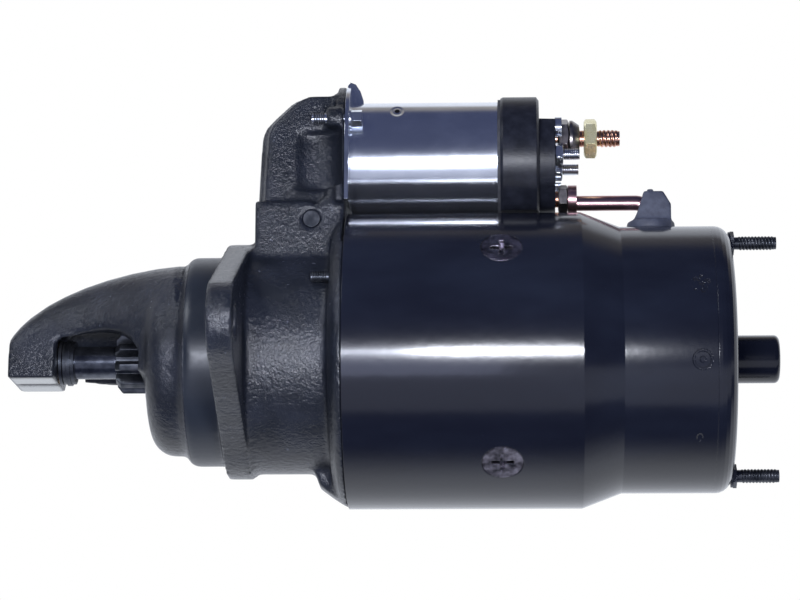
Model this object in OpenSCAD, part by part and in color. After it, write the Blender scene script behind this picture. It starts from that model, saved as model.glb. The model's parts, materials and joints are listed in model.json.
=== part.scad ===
// Enclosed-lever starter motor with its solenoid on top.
// X runs along the motor axis, from the nose (-X) to the commutator end (+X).
// Z points up through the solenoid. The origin is on the motor axis, in the
// front face of the mounting flange. All sizes are millimetres.

/* [Mounting flange and pilot] */
// Thickness of the mounting flange
flange_t = 9.5; // [7:0.1:14]
// Height of the flange across its middle
flange_h = 91; // [88:0.5:100]
// Distance between the two mounting holes
hole_pitch = 150; // [130:1:180]
// Diameter of a mounting hole
hole_d = 13; // [9:0.1:16]
// Radius of the rounded end of each ear
ear_r = 15; // [12:0.5:20]
// Diameter of the locating pilot in front of the flange
pilot_d = 81; // [78:0.1:84]
// Length of the pilot in front of the flange
pilot_len = 17.7; // [12:0.1:22]

/* [Nose] */
// Length of the nose in front of the flange
nose_len = 84; // [78:0.5:100]
// Diameter of the nose where it joins the pilot
nose_d = 73; // [68:0.5:77]
// Width of the bearing block at the tip
block_w = 30; // [26:0.5:36]
// Length of the bearing block
block_len = 18; // [14:0.5:22]
// Drop of the flat underside of the block below the axis
block_drop = 8.8; // [8.5:0.1:12]
// Drop of the closed side wall below the axis
wall_drop = 5.5; // [3:0.1:8]
// Height of the top of the pinion window above the axis
window_top = 9.5; // [7:0.1:12]
// Width of the space around the pinion
pinion_space = 30; // [27:0.5:34]

/* [Housing body] */
// Outside diameter of the housing behind the flange
body_d = 87.2; // [82:0.1:92]
// Inside diameter of the housing around the drive
cavity_d = 73; // [71:0.5:76]
// Height of the solenoid axis above the motor axis
solenoid_z = 80.3; // [79.5:0.1:92]
// Height of the lever pivot above the motor axis
pivot_z = 51; // [49:0.1:54]
// Distance of the lever pivot behind the flange face
pivot_x = 33; // [31:0.1:34.5]
// Width of the lever housing at its foot
foot_w = 50; // [44:0.5:56]
// Width of the lever housing beside the plunger
tower_w = 39; // [32:0.5:42]
// Width of the slot that the lever swings in
slot_w = 18; // [14:0.5:22]

/* [Field frame] */
// Outside diameter of the field frame
frame_d = 114.3; // [112:0.1:130]
// Distance from the flange face to the front of the field frame
frame_x = 46.5; // [46:0.1:50]
// Length of the full-diameter part
frame_len = 89.5; // [86:0.5:110]
// Length of the taper
taper_len = 15; // [10:0.5:20]
// Outside diameter of the neck at the commutator end
neck_d = 102.8; // [101:0.1:109]
// Length of the neck
neck_len = 34.5; // [33:0.5:45]
// Wall of the full-diameter part
frame_wall = 5.4; // [4:0.1:7]
// Wall of the neck
neck_wall = 2.7; // [2:0.1:3.2]
// Diameter of the through bolts
bolt_d = 4.8; // [4:0.1:6]
// Radius of the circle that the through bolts lie on
bolt_r = 44.9; // [43:0.1:45.2]
// Length of the stud that stands out behind each through bolt
stud_len = 18.5; // [10:0.5:30]

/* [End frame] */
// Length of the end frame along the axis
end_len = 7.5; // [6.5:0.1:12]
// Thickness of the end frame's plate
end_t = 3; // [2:0.1:4]
// Diameter of the bearing boss
boss_d = 18.5; // [17.5:0.1:24]
// Length of the bearing boss
boss_len = 19; // [16:0.5:26]

/* [Armature] */
// Diameter of both shaft journals
journal_d = 12.7; // [10:0.1:13]
// Diameter of the splined part of the shaft
spline_d = 16; // [14:0.1:16.4]
// Diameter of the laminated core
core_d = 72; // [64:0.5:76]
// Length of the laminated core
core_len = 66; // [50:0.5:70]
// Diameter of the commutator
commutator_d = 48; // [40:0.5:52]
// Length of the commutator
commutator_len = 28; // [24:0.5:30]
// Number of commutator bars
bars = 24; // [16:1:30]
// Radial gap between the armature and the pole shoes
air_gap = 0.6; // [0.4:0.1:1]

/* [Drive] */
// Number of teeth on the pinion
pinion_teeth = 9; // [8:1:12]
// Outside diameter of the pinion
pinion_d = 24; // [22:0.1:24.6]
// Length of the pinion teeth
pinion_len = 18; // [14:0.5:20]
// Distance from the flange face to the front of the pinion at rest
pinion_x = -43.5; // [-45:0.1:-42]
// Outside diameter of the clutch shell
clutch_d = 49; // [40:0.5:52]
// Length of the clutch shell
clutch_len = 20; // [18:0.5:22]
// Outside diameter of the sleeve that carries the shift collar
sleeve_d = 22; // [20:0.1:23]
// Distance that the plunger pulls in
plunger_travel = 9; // [7:0.1:10]

/* [Solenoid] */
// Outside diameter of the solenoid can
can_d = 45.4; // [42:0.1:46]
// Length of the solenoid can
can_len = 57.2; // [54:0.1:66]
// Wall of the can
can_wall = 1.6; // [1:0.1:2.5]
// Diameter of the plunger
plunger_d = 19; // [16:0.1:20]
// Outside diameter of the terminal cap
cap_d = 49.2; // [47:0.1:54]
// Length of the round part of the cap
cap_len = 15; // [14:0.1:18]
// Length of the terminal platform behind the cap
platform_len = 6.2; // [6:0.1:10]
// Height of the battery terminal above the motor axis
battery_z = 88.7; // [87:0.1:91]
// Height of the motor terminal above the motor axis
motor_z = 64.2; // [63:0.1:66]
// Diameter of the battery and motor terminal studs
terminal_d = 6.4; // [5:0.1:8]

/* [Hidden] */
$fn = 96;

// Clearances that are used again and again
run_gap = 0.05;     // radial, shaft in a bushing
slide_gap = 0.15;   // radial, plunger or sleeve in its guide
eps = 0.01;         // overlap that keeps cuts clean
weld = 1;           // sink of one cast feature into the next

// Stations along the motor axis
nose_tip = -nose_len;
block_rear = nose_tip + block_len;
nose_rear = -pilot_len;
dome_x = nose_rear - 14.6;
dome_wall = 5.4;
ring_front = frame_x - 6;
ring_d = frame_d - 1.2;
boss_run = 13.4;
boss_w = 27;
taper_x = frame_x + frame_len;
neck_x = taper_x + taper_len;
end_x = neck_x + neck_len;
end_face = end_x + end_len;
boss_end = end_face + boss_len;

// Housing cavity, tower and lever slot
inner_r = cavity_d / 2;
pilot_bore_r = inner_r - 2.5;
nose_bore_r = inner_r - 6.5;
pinion_bore_r = pinion_space / 2 - 1.2;
tower_top = solenoid_z + 21.4;
tower_front = 12.3;
tower_lean = 3.2;
pad_x = frame_x - 8;
pad_face = frame_x - 0.9;
slot_front = 18;
slot_rear = pad_x + 2.2;
blade_rear = pad_x + 6;
scoop_r = 11;
scoop_in = 3;
pin_d = 6.4;

// Through bolts, poles and brushes share this pattern
pole_turn = 53;     // turn of the first pole from +Z towards -Y
bolt_turn = 8;      // turn of the first through bolt from +Z towards -Y
dowel_turn = 58;    // turn of the first dowel from +Z towards -Y
shank_d = bolt_d - 0.5;
dowel_out = bolt_r + 1.6;
dowel_d = 4;
pole_x = taper_x - core_len + 2.5;
pole_len = core_len - 5;
frame_bore_r = frame_d / 2 - frame_wall;
neck_bore_r = neck_d / 2 - neck_wall;
pole_face_r = core_d / 2 + air_gap;
pole_body_w = 28;
pole_tip_t = 3.4;
coil_w = 8;
coil_gap = 0.5;
pole_screw_d = 9;
pole_head_d = 15.6;
pole_screw_x = pole_x + 0.545 * pole_len;
pole_seat = frame_d / 2 - 0.9;
pole_cone = 2.5;

// Armature
core_x = taper_x - core_len;
commutator_x = taper_x + 13;
shaft_front = nose_tip + 2;
shaft_rear = boss_end - 5;
nose_bush_len = block_len - 2;
bush_wall = 1.6;
bush_r = journal_d / 2 + run_gap + bush_wall;
end_bush_len = boss_len - 3;

// Shift linkage: the lever swings evenly to both sides of upright
upper_arm = solenoid_z - pivot_z;
lower_arm = pivot_z;
swing = asin(plunger_travel / 2 / upper_arm);
drive_travel = 2 * lower_arm * sin(swing);
link_x = pivot_x - plunger_travel / 2;
groove_x = pivot_x + drive_travel / 2;
groove_w = 5;
groove_r = sleeve_d / 2 + 2;
collar_r = groove_r + 3;
collar_side = 3;
lever_t = 5;
lever_w = 11;
fork_in = collar_r + 1.2;
fork_t = 3.2;
fork_top = 29;
shoe_gap = 0.3;
link_pin_d = 6;

// Drive assembly
stop_gap = 0.8;
stop_len = 4.4;
stop_x = pinion_x - drive_travel - stop_gap - stop_len;
clutch_x = dome_x + dome_wall + drive_travel + 2.4;
clutch_rear = clutch_x + clutch_len;
sleeve_rear = groove_x + groove_w / 2 + collar_side + 2.6;
pinion_hub_r = 9;
race_r = 12;
shell_wall = 4;
roller_d = 6;
pinion_rear = pinion_x + pinion_len;

// Solenoid
flange_plate_t = 1.6;
plate_x = pad_face + flange_plate_t;
can_rear = plate_x + can_len;
gasket_t = 1;
cap_x = can_rear + gasket_t;
platform_x = cap_x + cap_len;
platform_rear = platform_x + platform_len;
under_gap = 0.5;
cap_under = frame_d / 2 + under_gap;
plunger_r = plunger_d / 2;
spool_r = plunger_r + slide_gap + 1.2;
core_face = can_rear - 15;
core_disc_t = 8;
plunger_rear = core_face - plunger_travel - 0.1;
plunger_front = link_x - 6;
spring_seat = 8;
contact_travel = 2;
disc_r = 15;
disc_t = 1.8;
disc_x = cap_x + 2.5;
head_gap = 0.2;
head_x = disc_x + disc_t + contact_travel + head_gap;
head_t = 3;
rod_r = 2.4;
pad_screw_y = 24.6;
pad_screw_z = solenoid_z + 10.4;
pad_r = 29;
pad_screw_d = 4;
pad_screw_out = 5.6;
switch_y = 11.5;
switch_z = solenoid_z - 1;
switch_d = 4.2;
nut_gap = 1.2;
battery_end = platform_rear + 25.5;
motor_end = platform_rear + 7;
battery_nut_t = 5;
tip_len = 9;        // end of the battery stud that stands clear of its nut
tip_step = 0.25;    // how far that end is below the stud's own radius
cap_bore_r = cap_d / 2 - 4.6;
contact_coil_r = 3.6;
contact_wire_r = 0.4;
battery_head_r = battery_z - solenoid_z - contact_coil_r - contact_wire_r - 0.2;
motor_head_r = motor_z - solenoid_z + cap_bore_r - 0.1;

// Field lead and its boot
lead_d = 5.9;
boot_x = neck_x + 5;
boot_len = 15.5;
lead_z = motor_z - 1.7;
lead_bend = 6;
boot_top = lead_z + lead_d / 2 + 0.5;

// Brush gear
brush_w = 10;
brush_len = 16;
brush_h = 12;
brush_x = commutator_x + 6;
post_out = 33;
post_side = 24;
post_r = 2;
arm_boss_r = 4;
arm_t = 2.4;

// ---------------------------------------------------------------- helpers

// A solid of revolution about the motor axis; points are [radius, x]
module turned(outline) {
    rotate([0, 90, 0]) rotate_extrude() polygon(outline);
}

// A cylinder along X from x0 to x1, at [y, z]
module rod(x0, x1, r, y = 0, z = 0) {
    translate([x0, y, z]) rotate([0, 90, 0]) cylinder(h = x1 - x0, r = r);
}

// A tube along X from x0 to x1, at [y, z]
module tube(x0, x1, r_out, r_in, y = 0, z = 0) {
    difference() {
        rod(x0, x1, r_out, y, z);
        rod(x0 - weld, x1 + weld, r_in, y, z);
    }
}

// A cylinder along Y, centred on y = 0, at [x, z]
module cross_rod(x, z, r, w) {
    translate([x, w / 2, z]) rotate([90, 0, 0]) cylinder(h = w, r = r);
}

// A hexagon along X, across flats af, at [y, z]
module hex(x0, x1, af, y = 0, z = 0) {
    translate([x0, y, z]) rotate([0, 90, 0]) cylinder(h = x1 - x0, d = af / cos(30), $fn = 6);
}

// An outline in X and Z, carried w wide across Y
module plate_y(w, outline) {
    translate([0, w / 2, 0]) rotate([90, 0, 0]) linear_extrude(w) polygon(outline);
}

// Turns its children about the motor axis, from +Z towards -Y
module around(turn) {
    rotate([turn, 0, 0]) children();
}

// Copies at every pole, at both through bolts or at both dowels
module each_pole() {
    for (k = [0 : 3]) around(pole_turn + 90 * k) children();
}
module each_bolt() {
    for (k = [0 : 1]) around(bolt_turn + 180 * k) children();
}
module each_dowel() {
    for (k = [0 : 1]) around(dowel_turn + 180 * k) children();
}

// Joins rings of points, each with the same count, into one closed skin
module loft(rings) {
    n = len(rings[0]);
    last = len(rings) - 1;
    sides = [for (k = [0 : last - 1], i = [0 : n - 1])
        let (a = k * n + i, b = k * n + (i + 1) % n)
        each [[a, b, b + n], [a, b + n, a + n]]];
    polyhedron(
        [for (ring = rings) each ring],
        concat([[for (i = [n - 1 : -1 : 0]) i]], sides, [[for (i = [0 : n - 1]) last * n + i]])
    );
}

// One ring of a wire of radius wire_r that follows a helix about X
function coil_ring(x, turn, coil_r, wire_r, sides) =
    [for (i = [0 : sides - 1])
        let (a = -360 * i / sides, r = coil_r + wire_r * cos(a))
        [x + wire_r * sin(a), -r * sin(turn), r * cos(turn)]];

// A coil spring about X, from x0 to x1, at height z
module coil_spring(x0, x1, coil_r, wire_r, turns, z = 0) {
    steps = ceil(turns * 14);
    run = x1 - x0 - 2 * wire_r;
    translate([0, 0, z]) loft([for (k = [0 : steps])
        coil_ring(x0 + wire_r + run * k / steps, 360 * turns * k / steps, coil_r, wire_r, 8)]);
}

// ---------------------------------------------------------- drive housing

// Height of the nose's back, u running from 0 at the pilot to 1 at the tip
function nose_top(u) = nose_d / 2 * sqrt(1 - pow(0.965 * u, 1.8));
// Half-width of the nose
function nose_half(u) = block_w / 2 + (nose_d - block_w) / 2 * pow(max(0, 1 - u / 0.73), 1.6);
// Section of the nose at x: a square-shouldered arch above a flat underside
function nose_ring(x) =
    let (u = (nose_rear - x) / (nose_rear - nose_tip), top = nose_top(u), half = nose_half(u))
    concat(
        [[x, -half, -block_drop]],
        [for (i = [0 : 24])
            let (a = 180 - 7.5 * i, c = cos(a), s = sin(a))
            [x, half * sign(c) * pow(abs(c), 0.78), top * pow(abs(s), 0.78)]],
        [[x, half, -block_drop]]
    );

module nose_skin() {
    span = nose_rear - nose_tip;
    loft([for (u = [1, 0.985, 0.95, 0.9, 0.8, 0.7, 0.58, 0.45, 0.3, 0.15, 0])
        nose_ring(nose_rear - u * span)]);
}

// Bell, pilot, body and ring in one turned outline
module housing_turning() {
    r = nose_d / 2;
    round_r = 9;
    pilot_r = pilot_d / 2;
    edge_r = 4;
    turned(concat(
        [[0, dome_x], [12, dome_x]],
        [for (a = [0 : 15 : 90])
            [r - round_r + round_r * sin(a), dome_x + 2.6 + round_r * (1 - cos(a))]],
        [[r, nose_rear + edge_r / 2], [pilot_r - edge_r, nose_rear + edge_r / 2]],
        [for (a = [0 : 15 : 90])
            [pilot_r - edge_r + edge_r * sin(a), nose_rear + edge_r * (1.5 - cos(a))]],
        [[pilot_r, flange_t / 2], [body_d / 2, flange_t / 2], [body_d / 2, ring_front]],
        [[ring_d / 2 - 5.5, ring_front + 0.6], [ring_d / 2 - 1.6, ring_front + 2.8]],
        [[ring_d / 2, frame_x - 0.4], [ring_d / 2 - 0.4, frame_x]],
        [[frame_bore_r - slide_gap, frame_x], [frame_bore_r - slide_gap, frame_x + 3], [0, frame_x + 3]]
    ));
}

// Diamond flange: three circles joined by their common tangents
module flange_plate() {
    big = flange_h / 2;
    reach = hole_pitch / 2;
    a = acos((big - ear_r) / reach);
    rotate([90, 0, 90]) linear_extrude(flange_t) {
        circle(r = big);
        for (side = [-1, 1]) {
            translate([side * reach, 0]) circle(r = ear_r);
            polygon([
                [0, 0],
                [side * big * cos(a), big * sin(a)],
                [side * (reach + ear_r * cos(a)), ear_r * sin(a)],
                [side * (reach + ear_r * cos(a)), -ear_r * sin(a)],
                [side * big * cos(a), -big * sin(a)]
            ]);
        }
    }
}

// Side outline of the tower that houses the lever
function tower_outline(rear, top, inset) =
    let (z1 = solenoid_z + 5, x0 = tower_front + inset, x1 = x0 + tower_lean)
    [
        [x0, body_d / 2 - 20], [x1 - 0.2, z1], [x1 + 1.2, z1 + 4.2],
        [x1 + 4.8, z1 + 8.2], [x1 + 11.2, top - 2.2], [x1 + 14.6, top - 0.5],
        [x1 + 17, top], [rear, top], [rear, body_d / 2 - 20]
    ];

// Shape of the solenoid's flange: round above, straight-sided below
module pad_plate(x0, x1) {
    rod(x0, x1, pad_r, 0, solenoid_z);
    translate([x0, -pad_r, cap_under - 1]) cube([x1 - x0, 2 * pad_r, solenoid_z - cap_under + 1]);
}

// The pad that the solenoid bolts to, with ears for its screws
module solenoid_pad() {
    pad_plate(pad_face - 3.6, pad_face);
    for (side = [-1, 1]) rod(pad_x, pad_face, 4.6, side * pad_screw_y, pad_screw_z);
    plate_y(foot_w, [
        [pad_x - 3, body_d / 2 - 14], [pad_x - 3, pivot_z + 7], [pad_x, pivot_z + 9],
        [pad_x, solenoid_z], [pad_face, solenoid_z], [pad_face, body_d / 2 - 14]
    ]);
}

module housing_outside() {
    nose_skin();
    housing_turning();
    flange_plate();
    plate_y(tower_w, tower_outline(pad_face, tower_top, 0));
    plate_y(tower_w - 8, tower_outline(pad_face, tower_top + 0.01, -2.4));
    plate_y(foot_w, [
        [tower_front - 1, body_d / 2 - 22], [tower_front - 1, pivot_z + 7.5],
        [pad_x - 6, pivot_z + 7.5], [pad_x - 3, pivot_z + 5], [frame_x - 10, pivot_z + 5],
        [frame_x - 10, body_d / 2 - 22]
    ]);
    solenoid_pad();
    // bosses that flare out of the body where the through bolts are screwed in
    each_bolt() intersection() {
        turned([
            [0, frame_x - boss_run - 4], [body_d / 2 - 1, frame_x - boss_run], [ring_d / 2 - 7, frame_x - boss_run + 2.6],
            [ring_d / 2 - 2.6, frame_x - 4.8], [ring_d / 2 - 1.5, frame_x - 1], [0, frame_x - 1]
        ]);
        translate([frame_x - boss_run - 5, -boss_w / 2, 0]) cube([boss_run + 5, boss_w, frame_d]);
    }
}

// Space for the pinion, its ring gear and the stop, open below and to -Y
module nose_hollow() {
    half = pinion_space / 2;
    front = block_rear;
    rear = dome_x + dome_wall;
    rod(front, rear + weld, half);
    translate([front, -half, -nose_d]) cube([dome_x - front, pinion_space, nose_d]);
    translate([front, -nose_d, -nose_d]) cube([dome_x - front, nose_d, nose_d]);
    translate([front, -half, -nose_d])
        cube([dome_x - front, nose_d + half, nose_d - wall_drop]);
    plate_window(front, dome_x);
}

// Arched window through the -Y wall
module plate_window(x0, x1) {
    rise = window_top;
    run = x1 - x0;
    translate([0, -8, 0]) rotate([90, 0, 0]) linear_extrude(nose_d) polygon(concat(
        [[x0, -1], [x0, rise * 0.55], [x0 + 2.5, rise * 0.72]],
        [for (k = [1 : 8])
            let (t = k / 8)
            [x0 + 2.5 + (run - 2.5) * t, rise * (0.72 + 0.9 * t - 1.08 * pow(t, 2.6) - 0.54 * pow(t, 9))]],
        [[x1, -1]]
    ));
}

module drive_housing() {
    color([0.13, 0.13, 0.15]) difference() {
        housing_outside();
        nose_hollow();
        // bushing seat and the bore that the pinion passes through
        rod(nose_tip + 1.2, block_rear + weld, bush_r);
        rod(dome_x - weld, dome_x + dome_wall + weld, pinion_bore_r);
        // stepped cavity around the drive
        rod(dome_x + dome_wall, nose_rear + 4, nose_bore_r);
        rod(nose_rear + 4 - eps, flange_t, pilot_bore_r);
        rod(flange_t - eps, frame_x + 3 + weld, inner_r);
        // lever slot and plunger opening
        plate_y(slot_w, [
            [slot_front, 0], [slot_front + 1.5, solenoid_z + 6], [slot_front + 7, solenoid_z + 13],
            [slot_rear, solenoid_z + 13], [slot_rear, 0]
        ]);
        plate_y(lever_t + 1.2, [
            [slot_rear - 1, inner_r - 8], [slot_rear - 1, solenoid_z],
            [blade_rear, solenoid_z], [blade_rear, inner_r - 8]
        ]);
        rod(slot_front + 2, frame_x, plunger_r + 2, 0, solenoid_z);
        cross_rod(pivot_x, pivot_z, pin_d / 2, foot_w + 10);
        // scoop in each side of the tower, clear of the plunger's bore
        for (side = [-1, 1])
            translate([pad_x - scoop_r / 2.4, side * (tower_w / 2 - scoop_in + scoop_r), pivot_z + 12.5])
                cylinder(h = tower_top - pivot_z - 27, r = scoop_r);
        // threads for the through bolts, dowels and solenoid screws
        each_bolt() rod(slot_rear - 4, frame_x + 4, shank_d / 2, 0, bolt_r);
        each_dowel() rod(ring_front - 7, frame_x + 4, dowel_d / 2, 0, dowel_out);
        for (side = [-1, 1])
            rod(pad_x - 2, frame_x, pad_screw_d / 2, side * pad_screw_y, pad_screw_z);
        // mounting holes
        for (side = [-1, 1]) rod(-1, flange_t + 1, hole_d / 2, side * hole_pitch / 2);
        // the field frame lies under the solenoid
        translate([pad_face, 0, 0]) rod(0, 20, frame_d / 2 + 30, 0, frame_d);
    }
}

module nose_bushing() {
    color([0.72, 0.53, 0.25])
        tube(nose_tip + 1.2, nose_tip + 1.2 + nose_bush_len, bush_r, journal_d / 2 + run_gap);
}

// The pin sits just below both faces of the foot
module lever_pivot_pin() {
    color([0.3, 0.3, 0.32]) cross_rod(pivot_x, pivot_z, pin_d / 2, foot_w - 0.6);
}

module frame_dowels() {
    color([0.5, 0.5, 0.52]) each_dowel() rod(ring_front - 6.4, frame_x + 3, dowel_d / 2, 0, dowel_out);
}

// ------------------------------------------------------------ field frame

module frame_outline_solid(grow) {
    r1 = frame_d / 2 + grow;
    r2 = neck_d / 2 + grow;
    turned([[0, frame_x], [r1, frame_x], [r1, taper_x], [r2, neck_x], [r2, end_x], [0, end_x]]);
}

module field_frame() {
    color([0.05, 0.05, 0.06]) difference() {
        frame_outline_solid(0);
        turned([
            [0, frame_x - weld], [frame_bore_r, frame_x - weld], [frame_bore_r, taper_x - 2],
            [neck_bore_r, neck_x - 1], [neck_bore_r, end_x + weld], [0, end_x + weld]
        ]);
        each_pole() {
            translate([pole_screw_x, 0, 0]) {
                cylinder(h = frame_d, d = pole_screw_d);
                translate([0, 0, pole_seat - pole_cone])
                    cylinder(h = pole_cone + eps, d1 = pole_screw_d + 0.1, d2 = pole_head_d + 0.1);
                translate([0, 0, pole_seat]) cylinder(h = 10, d = pole_head_d + 0.1);
            }
            translate([brush_x + brush_len / 2, 0, 0]) post_place() cylinder(h = 30, r = post_r);
        }
        translate([boot_x + boot_len / 2, 0, 0]) cylinder(h = frame_d, r = 5.5);
    }
}

module pole_shoe() {
    half = pole_body_w / 2;
    difference() {
        intersection() {
            rod(pole_x, pole_x + pole_len, frame_bore_r - 0.02);
            union() {
                translate([pole_x, -half, 0]) cube([pole_len, pole_body_w, frame_d]);
                intersection() {
                    rod(pole_x, pole_x + pole_len, pole_face_r + pole_tip_t);
                    translate([pole_x, -core_d * 0.31, 0]) cube([pole_len, core_d * 0.62, frame_d]);
                }
            }
        }
        rod(pole_x - weld, pole_x + pole_len + weld, pole_face_r);
        translate([pole_screw_x, 0, pole_face_r - 1]) cylinder(h = 40, d = pole_screw_d);
        translate([pole_x - weld, -frame_d, -frame_d]) cube([pole_len + 2 * weld, 2 * frame_d, frame_d]);
    }
}

module pole_shoes() {
    color([0.35, 0.35, 0.37]) each_pole() pole_shoe();
}

module pole_screws() {
    shank = pole_screw_d / 2 - 0.01;
    color([0.1, 0.1, 0.11]) each_pole() translate([pole_screw_x, 0, 0]) difference() {
        rotate_extrude() polygon([
            [0, pole_face_r + 1], [shank, pole_face_r + 1], [shank, pole_seat - pole_cone],
            [pole_head_d / 2, pole_seat], [pole_head_d / 2, pole_seat + 0.5], [0, pole_seat + 0.5]
        ]);
        for (turn = [0, 90]) rotate([0, 0, turn])
            translate([-4.2, -0.9, pole_seat - 2]) cube([8.4, 1.8, 4]);
    }
}

module field_coil() {
    over = coil_w + coil_gap;
    half = pole_body_w / 2;
    intersection() {
        difference() {
            rod(pole_x - over, pole_x + pole_len + over, frame_bore_r - 1.9);
            rod(pole_x - over - 1, pole_x + pole_len + over + 1, pole_face_r + pole_tip_t + 0.5);
        }
        difference() {
            translate([pole_x - over, -half - over, 0]) cube([pole_len + 2 * over, 2 * (half + over), frame_d]);
            translate([pole_x - coil_gap, -half - coil_gap, -1])
                cube([pole_len + 2 * coil_gap, 2 * (half + coil_gap), frame_d + 2]);
        }
    }
}

module field_coils() {
    color([0.55, 0.3, 0.15]) each_pole() field_coil();
}

// -------------------------------------------------------------- end frame

module end_frame() {
    r = neck_d / 2;
    round_r = min(6, end_len - 1);
    boss_r = boss_d / 2;
    color([0.05, 0.05, 0.06]) difference() {
        turned(concat(
            [[0, end_x], [r, end_x]],
            [for (a = [0 : 15 : 90]) [r - round_r + round_r * cos(a), end_face - round_r + round_r * sin(a)]],
            [[boss_r + 2, end_face], [boss_r, end_face + 2]],
            [for (a = [0 : 15 : 90]) [boss_r - 2 + 2 * cos(a), boss_end - 2 + 2 * sin(a)]],
            [[0, boss_end]]
        ));
        turned([
            [0, end_x - weld], [r - end_t, end_x - weld], [r - end_t, end_face - end_t - 2],
            [r - end_t - 2, end_face - end_t], [0, end_face - end_t]
        ]);
        rod(end_face - end_t - weld, shaft_rear + 1.5, bush_r);
        each_bolt() rod(end_x, end_face + weld, bolt_d / 2 + 0.3, 0, bolt_r);
    }
}

module end_bushing() {
    x0 = end_face - end_t;
    color([0.72, 0.53, 0.25]) tube(x0, x0 + end_bush_len, bush_r, journal_d / 2 + run_gap);
}

// Through bolts run between the poles and end in a stud behind a hexagon collar
module through_bolts() {
    color([0.2, 0.2, 0.22]) each_bolt() {
        rod(slot_rear + 0.5, end_face + 1, shank_d / 2, 0, bolt_r);
        hex(end_face + 0.8, end_face + 2.2, 8, 0, bolt_r);
        rod(end_face + 1, end_face + stud_len, bolt_d / 2, 0, bolt_r);
    }
}

module bolt_washers() {
    color([0.25, 0.25, 0.27]) each_bolt()
        tube(end_face, end_face + 0.8, 4.4, bolt_d / 2, 0, bolt_r);
}

// -------------------------------------------------------------- brush gear

// Moves from a brush's own place to its pivot post, along X
module post_place() {
    translate([0, post_side, post_out]) rotate([0, 90, 0]) children();
}

// Each post stands on a foot against the inside of the neck
module brush_posts() {
    foot = brush_x + brush_len + 3;
    color([0.45, 0.45, 0.47]) each_pole() {
        rod(brush_x - 2, foot, post_r, post_side, post_out);
        intersection() {
            rod(foot - 2, foot + 1, neck_bore_r - eps);
            translate([foot - 2, post_side - 5, post_out - 4]) cube([3, 10, 30]);
        }
    }
}

module brush_arm() {
    r0 = commutator_d / 2;
    color([0.6, 0.5, 0.2]) difference() {
        union() {
            rod(brush_x, brush_x + brush_len, arm_boss_r, post_side, post_out);
            translate([brush_x, 0, r0 + brush_h + 0.2])
                cube([brush_len, post_side, arm_t]);
            translate([brush_x, -brush_w / 2 - arm_t, r0 + 4])
                cube([brush_len, brush_w + 2 * arm_t, brush_h + 0.2 + arm_t - 4]);
        }
        translate([brush_x - 1, -brush_w / 2 - 0.1, 0])
            cube([brush_len + 2, brush_w + 0.2, r0 + brush_h + 0.1]);
        rod(brush_x - 1, brush_x + brush_len + 1, post_r + run_gap, post_side, post_out);
    }
}

module brush() {
    r0 = commutator_d / 2;
    color([0.25, 0.2, 0.18]) difference() {
        translate([brush_x + 1, -brush_w / 2, 0]) cube([brush_len - 2, brush_w, r0 + brush_h]);
        rod(brush_x, brush_x + brush_len, r0 + 0.1);
        translate([brush_x, -r0, -r0]) cube([brush_len, 2 * r0, r0]);
    }
}

module brush_arm_1() { around(pole_turn) brush_arm(); }
module brush_arm_2() { around(pole_turn + 90) brush_arm(); }
module brush_arm_3() { around(pole_turn + 180) brush_arm(); }
module brush_arm_4() { around(pole_turn + 270) brush_arm(); }
module brush_1() { around(pole_turn) brush(); }
module brush_2() { around(pole_turn + 90) brush(); }
module brush_3() { around(pole_turn + 180) brush(); }
module brush_4() { around(pole_turn + 270) brush(); }

// -------------------------------------------------------------- field lead

// A copper rod from the motor terminal that turns down into the frame
module field_lead() {
    r = lead_d / 2;
    start = platform_rear + 6.4;
    down_x = boot_x + boot_len / 2;
    color([0.6, 0.32, 0.22]) {
        rod(start + 1, down_x - lead_bend, r, 0, lead_z);
        translate([down_x - lead_bend, 0, lead_z - lead_bend]) rotate([90, 0, 0])
            rotate_extrude(angle = 90) translate([lead_bend, 0]) circle(r = r);
        translate([down_x, 0, neck_bore_r - 4]) cylinder(h = lead_z - lead_bend - neck_bore_r + 4, r = r);
        difference() {
            rod(start - 1.4, start + 2, 5.4, 0, motor_z);
            rod(start - 3, start + 3, terminal_d / 2 + 0.02, 0, motor_z);
        }
    }
}

module lead_boot() {
    down_x = boot_x + boot_len / 2;
    floor_z = neck_d / 2;
    hole_r = lead_d / 2 + 0.02;
    color([0.2, 0.22, 0.27]) difference() {
        union() {
            difference() {
                union() {
                    plate_y(12, [
                        [boot_x + 0.6, floor_z - 2], [boot_x + 0.6, floor_z + 2.2], [boot_x + 2.4, floor_z + 6.2],
                        [boot_x + 5, boot_top], [boot_x + boot_len - 3, boot_top],
                        [boot_x + boot_len, boot_top - 5.2], [boot_x + boot_len, floor_z - 2]
                    ]);
                    for (side = [-1, 1])
                        translate([boot_x + boot_len / 2 + 0.8 * side - 0.5, -2, boot_top - 0.5]) cube([1, 4, 2.4]);
                    translate([down_x, 0, floor_z - 2]) cylinder(h = 5, r = boot_len / 2 + 1.6);
                }
                // saddle that sits on the neck
                rod(boot_x - 5, boot_x + boot_len + 5, floor_z + 0.05);
            }
            translate([down_x, 0, neck_bore_r - 1.5]) cylinder(h = neck_wall + 4, r = 5.4);
        }
        // way for the lead, with a square space around its bend
        rod(boot_x - 1, down_x, hole_r, 0, lead_z);
        translate([down_x, 0, neck_bore_r - 5]) cylinder(h = lead_z - neck_bore_r + 5, r = hole_r);
        translate([down_x - lead_bend - 1, -hole_r - 0.2, lead_z - lead_bend - 1])
            cube([lead_bend + hole_r + 1.2, 2 * hole_r + 0.4, lead_bend + hole_r + 1.1]);
    }
}

// ---------------------------------------------------------------- solenoid

// Everything on the solenoid that would meet the field frame is cut flat here
module above_frame() {
    difference() {
        children();
        translate([pad_face - 10, -60, -60]) cube([120, 120, 60 + cap_under]);
    }
}

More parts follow.
